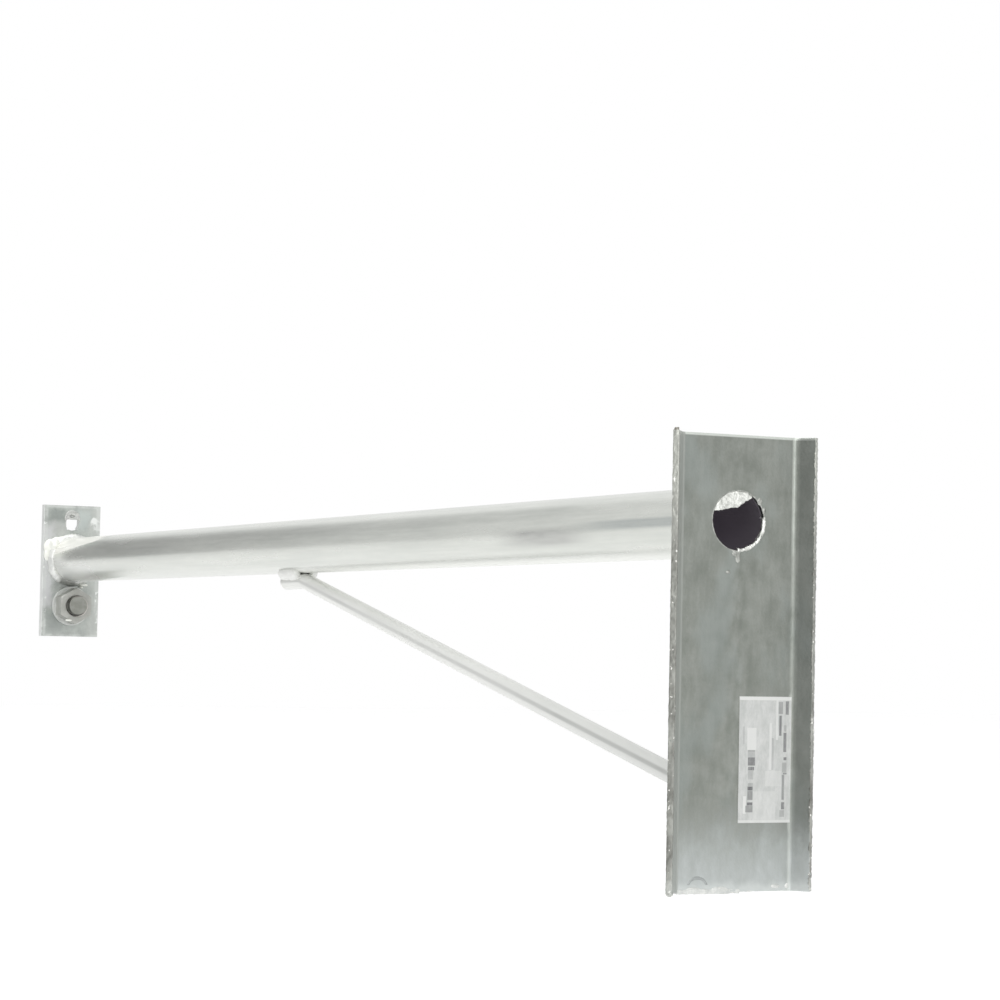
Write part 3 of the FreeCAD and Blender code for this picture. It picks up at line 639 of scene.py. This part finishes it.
def tube_finish():
    """Satin zinc with long faint streaks, a worn grey patch, painted shade on the lower half and a painted
    dark reflection band towards the plate. At the tip a painted highlight lies along the top, and painted
    light below it."""
    material, shader, place, along_x, along_y, along_z = new_finish("tube_zinc", 0.24)
    cloud = clouds(place, (9, 90, 90), 3.0, 0.55)
    streak = clouds(place, (5, 260, 260), 3.0, 0.6)
    fine = clouds(place, (60, 420, 420), 2.0)
    grain = clouds(place, (1100, 1100, 1100), 1.0)
    shade = (cloud - 0.5) * 1.6 + (streak - 0.5) * 1.3 + (fine - 0.5) * 0.6 + (grain - 0.5) * 0.3
    steel = shade.rise(-0.85, 0.85).mix((0.565, 0.585, 0.55), (0.715, 0.73, 0.69))
    # Painted shade: the lower half is a little darker
    lower = along_z.rise(0.2 * TUBE_RADIUS, -0.1 * TUBE_RADIUS)
    steel = (lower * 0.25).mix(steel, (0.4, 0.41, 0.385))
    worn = along_x.within(0.158, 0.178, 0.055) * along_z.within(-6 * MM, -2.5 * MM, 4.5 * MM)
    steel = (worn * (cloud + fine - 0.1)).mix(steel, (0.4, 0.405, 0.39))
    # Painted reflection: a dark band at mid height towards the plate
    painted_reflection_band = along_x.within(-0.02, 0.085, 0.06) * along_z.within(-1.0 * MM, 1.4 * MM, 2 * MM)
    steel = (painted_reflection_band * (cloud + streak - 0.35)).mix(steel, (0.34, 0.37, 0.37))
    # Painted highlight: a pale, matt band along the tube's top at the tip
    climb = along_z + (along_x - 0.92) * 0.1
    run = along_x.rise(0.893, 0.915) * climb.rise(0.6 * TUBE_RADIUS, 0.7 * TUBE_RADIUS)
    # Painted light: the zinc below the highlight at the tip is painted pale and made dull
    painted_tip_light = along_x.rise(0.955, 0.99) * along_z.rise(5 * MM, -1 * MM)
    low = along_x.rise(0.87, 0.95) * along_z.rise(-0.1 * TUBE_RADIUS, -0.5 * TUBE_RADIUS)
    painted_tip_light = painted_tip_light.either(low) * 0.7
    steel = painted_tip_light.mix(steel, (0.83, 0.84, 0.81))
    steel = run.mix(steel, (0.96, 0.96, 0.9))
    # Over the brace the underside is rougher, and painted paler as painted light
    painted_light_underside = along_z.rise(-0.8 * TUBE_RADIUS, -0.95 * TUBE_RADIUS) * along_x.rise(0.56, 0.52)
    steel = painted_light_underside.mix(steel, (0.8, 0.81, 0.78))
    # The wall inside the bore never sees much light: its zinc is dull and painted dark as painted shade
    squared = along_y * along_y + along_z * along_z
    painted_bore_shade = squared.rise((TUBE_RADIUS - 1 * MM) ** 2, (TUBE_RADIUS - 2 * MM) ** 2)
    steel = painted_bore_shade.mix(steel, (0.16, 0.145, 0.165))
    # Painted glow: past the first few centimetres from the web, the bore glows faintly
    painted_bore_glow = (painted_bore_shade * along_x.rise(-0.005, 0.035)).mix(0.0, (0.021, 0.018, 0.022))
    shader.inputs["Emission Strength"].default_value = 1.0
    feed(shader, base_color=steel, roughness=0.2 + cloud * 0.12 + painted_light_underside * 0.3, emission_color=painted_bore_glow,
         metallic=1 - painted_bore_shade.either(run).either(painted_tip_light),
         normal=bump(cloud * 0.6 + streak * 0.3 + fine * 0.25 + grain * 0.1, 0.25 * MM, 0.3))
    return material


fit(tube, tube_finish(), "galvanised_tube", "arm_tube")

# End plate. A sawn length of 45 by 6 mm flat bar with rolled edges, welded square across the tube's end.
# It has an upright slot above the tube, half closed by zinc, and a bolt hole below it.
bar_low, bar_high = (Vector(corner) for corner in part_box("end_plate"))
BAR_MIDDLE = (bar_low + bar_high) / 2
BAR_HALF = (bar_high.y - bar_low.y) / 2
BAR_FACE = bar_low.x
SLOT_RISE = 30.2 * MM
SLOT_HALF = 5.5 * MM
SLOT_REACH = 2 * MM
FILED_FOOT = (4 * SHEET, 8.6 * MM, 3.8 * MM)
FILED_DROP = 5 * MM
BOLT_HOLE = 8.75 * MM
BOLT_DROP = 35.5 * MM
bar = box_piece("flat_bar", BAR_MIDDLE, bar_high - bar_low)
for rise in (-SLOT_REACH, SLOT_REACH):
    cut_with(bar, rod_piece("drill", (BAR_MIDDLE.x, BAR_MIDDLE.y, SLOT_RISE + rise), SLOT_HALF, 4 * SHEET))
cut_with(bar, box_piece("mill", (BAR_MIDDLE.x, BAR_MIDDLE.y, SLOT_RISE),
                        (4 * SHEET, 2 * SLOT_HALF, 2 * SLOT_REACH)))
# The slot's foot was filed nearly square
cut_with(bar, box_piece("file", (BAR_MIDDLE.x, BAR_MIDDLE.y, SLOT_RISE - FILED_DROP), FILED_FOOT))
cut_with(bar, rod_piece("drill", (BAR_MIDDLE.x, BAR_MIDDLE.y, -BOLT_DROP), BOLT_HOLE, 4 * SHEET))
soft_edges(bar, 0.8 * MM)


def bar_finish():
    """Unevenly drained zinc with dark and pale patches, some of them a painted shadow and painted glints, and
    pale strips along the edges where the bath ran off, partly painted highlight with painted glints in them."""
    material, shader, place, along_x, along_y, along_z = new_finish("bar_zinc", 0.42)
    cloud = clouds(place, (90, 90, 90), 5.0, 0.65)
    painted_glints = clouds(place, (230, 230, 190), 2.0).rise(0.6, 0.72)
    grain = clouds(place, (800, 800, 800), 1.0)
    shade = (cloud - 0.5) * 2.4 + (grain - 0.5) * 0.4
    steel = shade.rise(-0.6, 0.6).mix((0.33, 0.35, 0.335), (0.49, 0.52, 0.49))
    # Each patch: its reach in Y and in Z and its soft border in mm, its strength, and its colour
    tone_patches_and_painted_light = [
        (10, 17, 32, 37, 7, 0.65, (0.25, 0.275, 0.26)), (9, 15, 21, 25, 7, 0.5, (0.56, 0.57, 0.55)),
        (19, 26, -34, 22, 7, 0.85, (0.6, 0.605, 0.61)), (-10, -5, 26, 36, 6, 0.6, (0.54, 0.59, 0.57)),
        (-26, -17, -60, 44, 7, 0.5, (0.58, 0.6, 0.57)), (9, 17, -51, -45, 7, 0.6, (0.27, 0.29, 0.28)),
        # The next patch, just under the tube's weld, is a painted shadow; the last two, pale at the right
        # edge level with the slot, are painted glints
        (1, 9, -23, -18, 3, 0.6, (0.26, 0.27, 0.26)), (-17.6, -15, 28.5, 32, 2, 0.8, (0.86, 0.88, 0.86)),
        (-19, -18, 24, 28, 1.5, 0.6, (0.8, 0.82, 0.8))]
    drift = clouds(place, (110, 110, 110), 4.0, 0.7) - 0.5
    uneven_y = along_y + drift * (14 * MM)
    uneven_z = along_z + (cloud - 0.5) * (14 * MM)
    for right_y, left_y, low_z, high_z, soft, strength, tone in tone_patches_and_painted_light:
        across = uneven_y.within(right_y * MM, left_y * MM, soft * MM)
        upright = uneven_z.within(low_z * MM, high_z * MM, soft * MM)
        steel = (across * upright * strength).mix(steel, tone)
    width = 2.4 * MM
    left = along_y - BAR_MIDDLE.y
    beside = abs(left).rise(BAR_HALF - 1.6 * width, BAR_HALF - width)
    above = along_z.rise(bar_high.z - width, bar_high.z - 0.6 * width)
    below = along_z.rise(bar_low.z + width, bar_low.z + 0.4 * width)
    strip = beside.either(above).either(below)
    # Pale strips along the edges: partly thicker zinc where the bath ran off, partly a painted highlight
    steel = (strip * (cloud.rise(0.35, 0.6) * 0.45 + 0.1)).mix(steel, (0.64, 0.66, 0.64))
    # Painted glints along the sides
    steel = (beside * painted_glints).mix(steel, (0.85, 0.87, 0.85))
    # The sawn and rolled edges and the slot's wall are dull, pale zinc
    edge = abs(left).rise(BAR_HALF - 0.45 * MM, BAR_HALF - 0.1 * MM)
    wall = abs(left).rise(SLOT_HALF + 0.4 * MM, SLOT_HALF + 0.1 * MM)
    wall = wall * along_x.rise(BAR_FACE, BAR_FACE + 0.8 * MM)
    edge = edge.either(wall * along_z.rise(SLOT_RISE - 9 * MM, SLOT_RISE - 8.5 * MM))
    steel = (edge * (0.6 + cloud * 0.5)).mix(steel, (0.84, 0.86, 0.84))
    feed(shader, base_color=steel, roughness=0.42 + (cloud - 0.5) * 0.3, metallic=0.8 - edge * 0.6,
         normal=bump(cloud + grain * 0.2, 0.4 * MM, 0.4))
    return material


fit(bar, bar_finish(), "galvanised_plate", "end_plate")

# Zinc in the slot. It froze across the slot's upper half as a bridge with an arched rim and a dimple, and
# down the left wall, so that the window that is left is nearly square.
WINDOW_TOP = SLOT_RISE + 1.0 * MM
SLOT_TOP = SLOT_RISE + SLOT_REACH + SLOT_HALF
bridge = box_piece("slot_bridge", (BAR_FACE + 1.5 * MM, BAR_MIDDLE.y, (WINDOW_TOP + SLOT_TOP) / 2),
                   (2.6 * MM, 2 * SLOT_HALF + 0.4 * MM, SLOT_TOP - WINDOW_TOP))
bpy.ops.mesh.primitive_torus_add(major_segments=72, minor_segments=12, major_radius=SLOT_HALF + 0.1 * MM,
                                 minor_radius=0.7 * MM, rotation=(0, math.pi / 2, 0),
                                 location=(BAR_FACE + 0.2 * MM, BAR_MIDDLE.y, SLOT_RISE + SLOT_REACH))
arch = shaped("arch")
keep_above(arch, (0, 0, SLOT_RISE), (0, 0, 1))
dimple = blob_piece("dimple", (BAR_FACE + 0.4 * MM, BAR_MIDDLE.y, SLOT_RISE + 3.6 * MM),
                    (1.6 * MM, 2.0 * MM, 1.2 * MM))
cut_with(bridge, dimple)
lining = box_piece("lining", (BAR_FACE + 1.8 * MM, BAR_MIDDLE.y + SLOT_HALF - 0.3 * MM, SLOT_RISE - 1.5 * MM),
                   (2.0 * MM, 1.5 * MM, 8 * MM))
bridge = joined("slot_bridge", [bridge, arch, lining])
freeze(bridge, 0.35 * MM, (3 * MM, 0.4 * MM), (1.2 * MM, 0.2 * MM))
bridge_zinc = lump_finish("bridge_zinc", (0.46, 0.47, 0.46), (0.66, 0.67, 0.64), 0.4, 300, 0.5)
fit(bridge, bridge_zinc, "galvanised_plate")


# Welds. Each is a run of overlapping weld pools, which left a ripple at every step of the torch, and the
# zinc bath smoothed them over.
random.seed(11)


def weld_run(name, pools, size, taper=0.0):
    """One pool at each place, turned along the run, run together into one skin that may thin at both
    ends."""
    forms = []
    for number, (place, turn) in enumerate(pools):
        fullness = 1 - taper * (1 - math.sin(math.pi * (number + 0.5) / len(pools)))
        bpy.ops.mesh.primitive_uv_sphere_add(segments=16, ring_count=10, radius=1, location=place,
                                             rotation=turn)
        pool = bpy.context.object
        pool.scale = [reach * fullness * random.uniform(0.92, 1.08) for reach in size]
        forms.append(shaped("pool"))
    run = joined(name, forms)
    freeze(run, 0.45 * MM, (2.5 * MM, 0.3 * MM))
    apply(run, "SMOOTH", factor=0.5, iterations=10)
    return run


def ring_pools(place_x, radius, count, slope):
    """Places round the tube, each turned so that its Y runs round and its X lies down the fillet's slope."""
    turns = [2 * math.pi * (k + 0.5) / count for k in range(count)]
    return [((place_x, radius * math.sin(a), radius * math.cos(a)),
             (Matrix.Rotation(-a, 3, "X") @ Matrix.Rotation(slope, 3, "Y")).to_euler()) for a in turns]


def weld_finish(name, dark, light, metallic=1.0):
    """Smooth zinc of two tones over the weld's ripples."""
    material, shader, place, *_ = new_finish(name, 0.34, metallic)
    cloud = clouds(place, (160, 160, 160), 3.0, 0.6)
    fine = clouds(place, (900, 900, 900), 2.0)
    feed(shader, base_color=((cloud - 0.5) * 2 + (fine - 0.5) * 0.5).rise(-0.6, 0.6).mix(dark, light),
         roughness=0.4 + (cloud - 0.5) * 0.25, normal=bump(cloud * 0.5 + fine * 0.15, 0.3 * MM, 0.3))
    return material


def tip_weld_finish():
    """Pale, smooth zinc on the weld round the tube's end, with a painted shadow underneath."""
    material, shader, place, along_x, along_y, along_z = new_finish("tip_ring_zinc", 0.42, 0.45)
    cloud = clouds(place, (160, 160, 160), 3.0, 0.6)
    steel = cloud.rise(0.35, 0.65).mix((0.68, 0.69, 0.67), (0.84, 0.85, 0.82))
    # Painted shadow under the tube, above the washer
    painted_shadow_under_tube = along_z.rise(-12.5 * MM, -15.5 * MM) * along_y.within(0, 10 * MM, 4 * MM)
    steel = (painted_shadow_under_tube * 0.75).mix(steel, (0.26, 0.27, 0.25))
    feed(shader, base_color=steel, roughness=0.42 + (cloud - 0.5) * 0.2, normal=bump(cloud, 0.2 * MM, 0.2))
    return material


weld_zinc = weld_finish("weld_zinc", (0.5, 0.515, 0.49), (0.7, 0.71, 0.67))
# Painted highlight: near-white zinc for the puddle and the glint blobs
painted_highlight_zinc = weld_finish("painted_highlight_zinc", (0.84, 0.85, 0.8), (0.96, 0.97, 0.91), 0.4)
FILLET_SLOPE = math.radians(45)
ROOT_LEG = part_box("root_weld")[1][0] - SHEET
root_run = weld_run("root_weld_run",
                    ring_pools(SHEET + 0.35 * ROOT_LEG, TUBE_RADIUS + 0.35 * ROOT_LEG, 44, FILLET_SLOPE),
                    (0.92 * ROOT_LEG, 2.1 * MM, 0.42 * ROOT_LEG))
fit(root_run, weld_zinc, "galvanised_weld", "root_weld")
TIP_LEG = TUBE_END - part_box("tip_weld")[0][0]
tip_pools = ring_pools(TUBE_END - 0.35 * TIP_LEG, TUBE_RADIUS + 0.35 * TIP_LEG, 48, -FILLET_SLOPE)
# The run ends in a second layer at the lower left
tip_pools += ring_pools(TUBE_END - 0.45 * TIP_LEG, TUBE_RADIUS + 0.65 * TIP_LEG, 48, -FILLET_SLOPE)[15:20]
tip_run = weld_run("tip_weld_run", tip_pools, (0.92 * TIP_LEG, 2.3 * MM, 0.5 * TIP_LEG))
fit(tip_run, tip_weld_finish(), "galvanised_weld", "tip_weld")

# Puddle. Weld metal and zinc that ran out over the flat bar at the weld's upper left, smooth, as far as the
# bar's left edge and up along the top of the tube. Its near-white colour is partly real zinc and partly a
# painted highlight.
puddle_forms = [blob_piece("puddle", (TUBE_END - 0.2 * MM, y * MM, z * MM), (x * MM, w * MM, h * MM))
                for x, y, z, w, h in (
                    (1.3, 17.8, 9.5, 6.2, 6.6), (1.9, 13.0, 13.4, 5.2, 4.2), (1.1, 20.4, 4.0, 3.3, 5.6),
                    (4.4, 14.6, 11.0, 5.4, 5.2), (3.0, 8.6, 15.8, 4.6, 2.4))]
puddle = joined("weld_puddle", puddle_forms)
freeze(puddle, 0.4 * MM, (4 * MM, 0.4 * MM))
apply(puddle, "SMOOTH", factor=0.5, iterations=12)
fit(puddle, painted_highlight_zinc, "galvanised_weld")

# Painted glints. Small pale blobs stand in for highlights, two on the weld's lower right and one on the nut's
# lower flank. Each has its place and then its half depth, width and height, in mm.
painted_glints = [blob_piece("glint_blob", (x * MM, y * MM, z * MM), (d * MM, w * MM, h * MM)) for x, y, z, d, w, h in (
    (997.3, -8.2, -19.2, 1.2, 3.4, 1.1), (998.8, -6.6, -20.9, 0.9, 2.0, 0.8),
    (984.7, 6.6, -46.5, 1.0, 3.2, 0.9))]
painted_glints = joined("painted_glint_blobs", painted_glints)
freeze(painted_glints, 0.25 * MM, (1.5 * MM, 0.3 * MM))
fit(painted_glints, painted_highlight_zinc, "galvanised_plate")

# Brace. A 10 mm round bar of galvanised steel that holds the tube up from the foot of the web. It is bent
# once, so that its end lies under the tube, and its foot is cut flush with the web.
brace_low, brace_high = (Vector(corner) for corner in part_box("brace_bar"))
foot_low, foot_high = (Vector(corner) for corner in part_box("brace_foot_weld"))
BAR_RADIUS = brace_high.y
BEND_REACH = 527 * MM
BEND_RADIUS = 30 * MM
foot = Vector((SHEET, 0, (foot_low.z + foot_high.z) / 2))
bend = Vector((BEND_REACH, 0, brace_high.z - BAR_RADIUS))
rising = (bend - foot).normalized()
turn = math.acos(rising.x)
trim = BEND_RADIUS * math.tan(turn / 2)
start = foot - rising * 2 * BAR_RADIUS
bpy.ops.mesh.primitive_circle_add(vertices=64, radius=BAR_RADIUS, fill_type="NGON", location=start,
                                  rotation=(0, math.pi / 2 - turn, 0))
brace = shaped("bent_bar")
open_up(brace)
bpy.ops.mesh.select_all(action="SELECT")
long_run = bend - rising * trim - start
bpy.ops.mesh.extrude_region_move(TRANSFORM_OT_translate={"value": long_run})
bpy.ops.mesh.spin(steps=10, angle=-turn, axis=(0, 1, 0),
                  center=(bend.x + trim, 0, bend.z - BEND_RADIUS))
bpy.ops.mesh.extrude_region_move(TRANSFORM_OT_translate={"value": (brace_high.x - bend.x - trim, 0, 0)})
close_up()
keep_above(brace, (SHEET, 0, 0), (1, 0, 0))
soft_edges(brace, 0.3 * MM)


def brace_finish():
    """Pale satin zinc, duller towards the foot, with a thin darker line along the left side, a painted
    reflection of the horizon. The line climbs a little towards the foot."""
    material, shader, place, along_x, along_y, along_z = new_finish("brace_zinc", 0.4, 0.35)
    cloud = clouds(place, (14, 120, 60), 3.0, 0.55)
    grain = clouds(place, (900, 900, 900), 1.0)
    shade = (cloud - 0.5) * 1.8 + (grain - 0.5) * 0.4
    steel = shade.rise(-0.8, 0.8).mix((0.8, 0.81, 0.78), (0.9, 0.905, 0.88))
    axis_height = (foot.z + (along_x - foot.x) * math.tan(turn)).at_most(bend.z)
    off_axis = (along_z - axis_height) * math.cos(turn)
    near_foot = along_x.rise(0.32, 0.04)
    steel = (near_foot * 0.6).mix(steel, (0.66, 0.67, 0.65))
    # Painted reflection: a thin dark line of the horizon along the bar's left side
    climb = off_axis + (along_x - 0.42) * (0.5 * BAR_RADIUS)
    painted_horizon_reflection = climb.within(0.01 * BAR_RADIUS, 0.16 * BAR_RADIUS, 0.25 * BAR_RADIUS)
    painted_horizon_reflection = painted_horizon_reflection * along_y.rise(0, 0.5 * BAR_RADIUS)
    steel = (painted_horizon_reflection * (near_foot * 0.45 + cloud * 0.8)).mix(steel, (0.5, 0.51, 0.49))
    feed(shader, base_color=steel, roughness=0.4 + (cloud - 0.5) * 0.15,
         normal=bump(cloud + grain * 0.2, 0.25 * MM, 0.3))
    return material


fit(brace, brace_finish(), "galvanised_tube", "brace_bar")

# Brace welds. A fillet runs round the foot on the web, and a fat bead fills the corner between bar and tube
# on each side of the top end. The zinc over them is pale and smooth.
FOOT_LEG = foot_high.x - SHEET
FOOT_POOLS = 20
BEAD_POOLS = 17
BEAD_ASIDE = 5.7 * MM
BEAD_DROP = 17.5 * MM
BEAD_LEAN = 0.5
BEAD_SETBACK = 1.6 * MM
foot_pools = [((SHEET + 0.3 * FOOT_LEG, (BAR_RADIUS + 0.3 * FOOT_LEG) * math.sin(a),
                foot.z + (BAR_RADIUS / rising.x + 0.3 * FOOT_LEG) * math.cos(a)), (-a, 0, 0))
              for a in (2 * math.pi * (k + 0.5) / FOOT_POOLS for k in range(FOOT_POOLS))]
foot_run_weld = weld_run("brace_foot_weld_run", foot_pools, (0.55 * FOOT_LEG, 1.9 * MM, 0.6 * FOOT_LEG))
fit(foot_run_weld, weld_zinc, "galvanised_weld", "brace_foot_weld")
bead_zinc = weld_finish("bead_zinc", (0.86, 0.87, 0.84), (0.94, 0.945, 0.92), 0.15)
for side, name in ((1, "brace_top_weld_left"), (-1, "brace_top_weld_right")):
    bead_low, bead_high = (Vector(corner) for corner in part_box(name))
    step = (bead_high.x - bead_low.x - 2 * BEAD_SETBACK) / (BEAD_POOLS - 1)
    pools = [((bead_low.x + BEAD_SETBACK + step * k, side * BEAD_ASIDE, -BEAD_DROP),
              (side * -BEAD_LEAN, 0, 0)) for k in range(BEAD_POOLS)]
    bead = weld_run(f"{name}_run", pools, (2.2 * MM, 3.1 * MM, 4.4 * MM), taper=0.1)
    fit(bead, bead_zinc, "galvanised_weld", name)

# Bolt, nut and washers. Galvanised M16 hardware through the lower hole, the head on the far side, so that
# the nut and the thread's end point back along the tube. The thread is rolled and its end turned off.
HEX_ACROSS = 24 * MM
HEX_CORNER = HEX_ACROSS / 2 / math.cos(math.pi / 6)
HEAD_HEIGHT = 10 * MM
BOLT_RADIUS = 8 * MM
CORE_RADIUS = 6.75 * MM
THREAD_END_RADIUS = 6.9 * MM
COUNTERSINK = 0.45 * MM
PITCH = 2 * MM
bolt_low, bolt_high = (Vector(corner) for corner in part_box("tip_bolt"))
nut_low, nut_high = (Vector(corner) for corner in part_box("tip_nut"))
AXIS_Y = (nut_low.y + nut_high.y) / 2
AXIS_Z = (nut_low.z + nut_high.z) / 2


def on_axis(reach):
    return (reach, AXIS_Y, AXIS_Z)


def cone_piece(name, start, end, radius_start, radius_end):
    """A cone on the bolt's axis, from one reach to a further one."""
    bpy.ops.mesh.primitive_cone_add(vertices=96, radius1=radius_start, radius2=radius_end, depth=end - start,
                                    location=on_axis((start + end) / 2), rotation=(0, math.pi / 2, 0))
    return shaped(name)


def hexagon_piece(name, seat, face):
    """A hexagon, two flats upright, from its seat to its face, its corners turned off there by a 30 degree
    cone."""
    start, end = min(seat, face), max(seat, face)
    bpy.ops.mesh.primitive_cylinder_add(vertices=6, radius=HEX_CORNER, depth=end - start,
                                        location=on_axis((start + end) / 2),
                                        rotation=(math.pi / 2, 0, math.pi / 2))
    hexagon = shaped(name)
    flare = HEX_ACROSS / 2 + (end - start) / math.tan(math.radians(30))
    wide, narrow = (flare, HEX_ACROSS / 2) if face > seat else (HEX_ACROSS / 2, flare)
    cut_with(hexagon, cone_piece("lathe", start, end, wide, narrow), "INTERSECT")
    return hexagon


def threaded_piece(name, end, depth):
    """The rolled thread from the bolt's end inwards: one triangular ridge wound on a core, then turned to
    size."""
    bpy.ops.mesh.primitive_circle_add(vertices=3, radius=0.95 * PITCH / math.sqrt(3), fill_type="NOTHING",
                                      location=(end - PITCH, 0, BOLT_RADIUS - 0.5 * PITCH),
                                      rotation=(math.pi / 2, 0, 0))
    ridge = shaped(name)
    turns = math.ceil(depth / PITCH) + 2
    apply(ridge, "SCREW", axis="X", angle=2 * math.pi, screw_offset=PITCH, iterations=turns, steps=48,
          render_steps=48, use_merge_vertices=False)
    open_up(ridge)
    bpy.ops.mesh.select_mode(type="EDGE")
    bpy.ops.mesh.select_non_manifold()
    bpy.ops.mesh.edge_face_add()
    close_up()
    ridge.location = on_axis(0)
    take_up(ridge)
    bpy.ops.object.transform_apply(location=True)
    cut_with(ridge, rod_piece("core", on_axis(end + depth / 2), CORE_RADIUS, depth + 6 * PITCH, 64), "UNION")
    turned_down = cone_piece("end_chamfer", end, end + depth, THREAD_END_RADIUS, THREAD_END_RADIUS + depth)
    blank = rod_piece("blank", on_axis(end + depth / 2), BOLT_RADIUS - 0.04 * MM, depth)
    cut_with(turned_down, blank, "INTERSECT")
    cut_with(ridge, turned_down, "INTERSECT")
    return ridge


def hardware_finish(name, dark, light):
    """Dull zinc of two tones, as the spun hardware has it."""
    material, shader, place, *_ = new_finish(name, 0.4, 0.5)
    cloud = clouds(place, (170, 170, 170), 3.0, 0.6)
    fine = clouds(place, (900, 900, 900), 2.0)
    feed(shader, base_color=((cloud - 0.5) * 2 + (fine - 0.5) * 0.4).rise(-0.6, 0.6).mix(dark, light),
         roughness=0.38 + (cloud - 0.5) * 0.25, normal=bump(cloud + fine * 0.3, 0.2 * MM, 0.35))
    return material


def bolt_finish():
    """Greenish grey zinc, and brownish zinc in the thread, which lies in the nut's shade and is painted paler
    there as painted light.
    """
    material, shader, place, along_x, along_y, along_z = new_finish("bolt_zinc", 0.42)
    cloud = clouds(place, (170, 170, 170), 3.0, 0.6)
    steel = cloud.rise(0.35, 0.65).mix((0.245, 0.25, 0.225), (0.31, 0.315, 0.29))
    aside, above = along_y - AXIS_Y, along_z - AXIS_Z
    squared = aside * aside + above * above
    thread = squared.rise(THREAD_END_RADIUS ** 2, (THREAD_END_RADIUS + 0.3 * MM) ** 2)
    thread = thread * along_x.rise(nut_high.x, nut_low.x)
    # Painted light: the thread in the nut's shade is painted paler
    steel = thread.mix(steel, (0.6, 0.565, 0.53))
    feed(shader, base_color=steel, roughness=0.42 + (cloud - 0.5) * 0.25, metallic=1 - thread * 0.8,
         normal=bump(cloud, 0.2 * MM, 0.35))
    return material


head_seat = bolt_high.x - HEAD_HEIGHT
head = hexagon_piece("bolt_head", head_seat, bolt_high.x)
soft_edges(head, 0.35 * MM)
thread = threaded_piece("thread", bolt_low.x, 5 * PITCH)
take_up(thread)
bpy.ops.object.shade_smooth_by_angle(angle=SHARP_FROM)
core = rod_piece("core", on_axis((bolt_low.x + 4 * PITCH + nut_high.x) / 2), CORE_RADIUS,
                 nut_high.x - bolt_low.x - 4 * PITCH, 64)
plain = rod_piece("plain_shank", on_axis((head_seat + nut_high.x) / 2), BOLT_RADIUS,
                  head_seat - nut_high.x, 64)
soft_edges(plain, 0.2 * MM)
bolt = joined("hexagon_bolt", [head, thread, core, plain])
fit(bolt, bolt_finish(), "galvanised_fastener", "tip_bolt")

nut = hexagon_piece("hexagon_nut", nut_high.x, nut_low.x)
cut_with(nut, rod_piece("nut_bore", on_axis((nut_low.x + nut_high.x) / 2), BOLT_RADIUS,
                        2 * (nut_high.x - nut_low.x)))
cut_with(nut, cone_piece("countersink", nut_low.x - COUNTERSINK, nut_low.x + COUNTERSINK,
                         BOLT_RADIUS + 2 * COUNTERSINK, BOLT_RADIUS))
soft_edges(nut, 0.3 * MM)
nut_zinc = hardware_finish("nut_zinc", (0.37, 0.375, 0.345), (0.48, 0.485, 0.455))
fit(nut, nut_zinc, "galvanised_fastener", "tip_nut")

washer_zinc = hardware_finish("washer_zinc", (0.54, 0.56, 0.54), (0.7, 0.71, 0.69))
for name in ("inner_washer", "outer_washer"):
    low, high = (Vector(corner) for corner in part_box(name))
    middle = (low + high) / 2
    ring = rod_piece(f"{name}_ring", middle, (high.y - low.y) / 2, high.x - low.x)
    cut_with(ring, rod_piece("washer_bore", middle, BOLT_RADIUS + 0.5 * MM, 2 * SHEET))
    soft_edges(ring, 0.4 * MM)
    fit(ring, washer_zinc, "galvanised_fastener", name)

bpy.context.scene.view_settings.view_transform = "Standard"
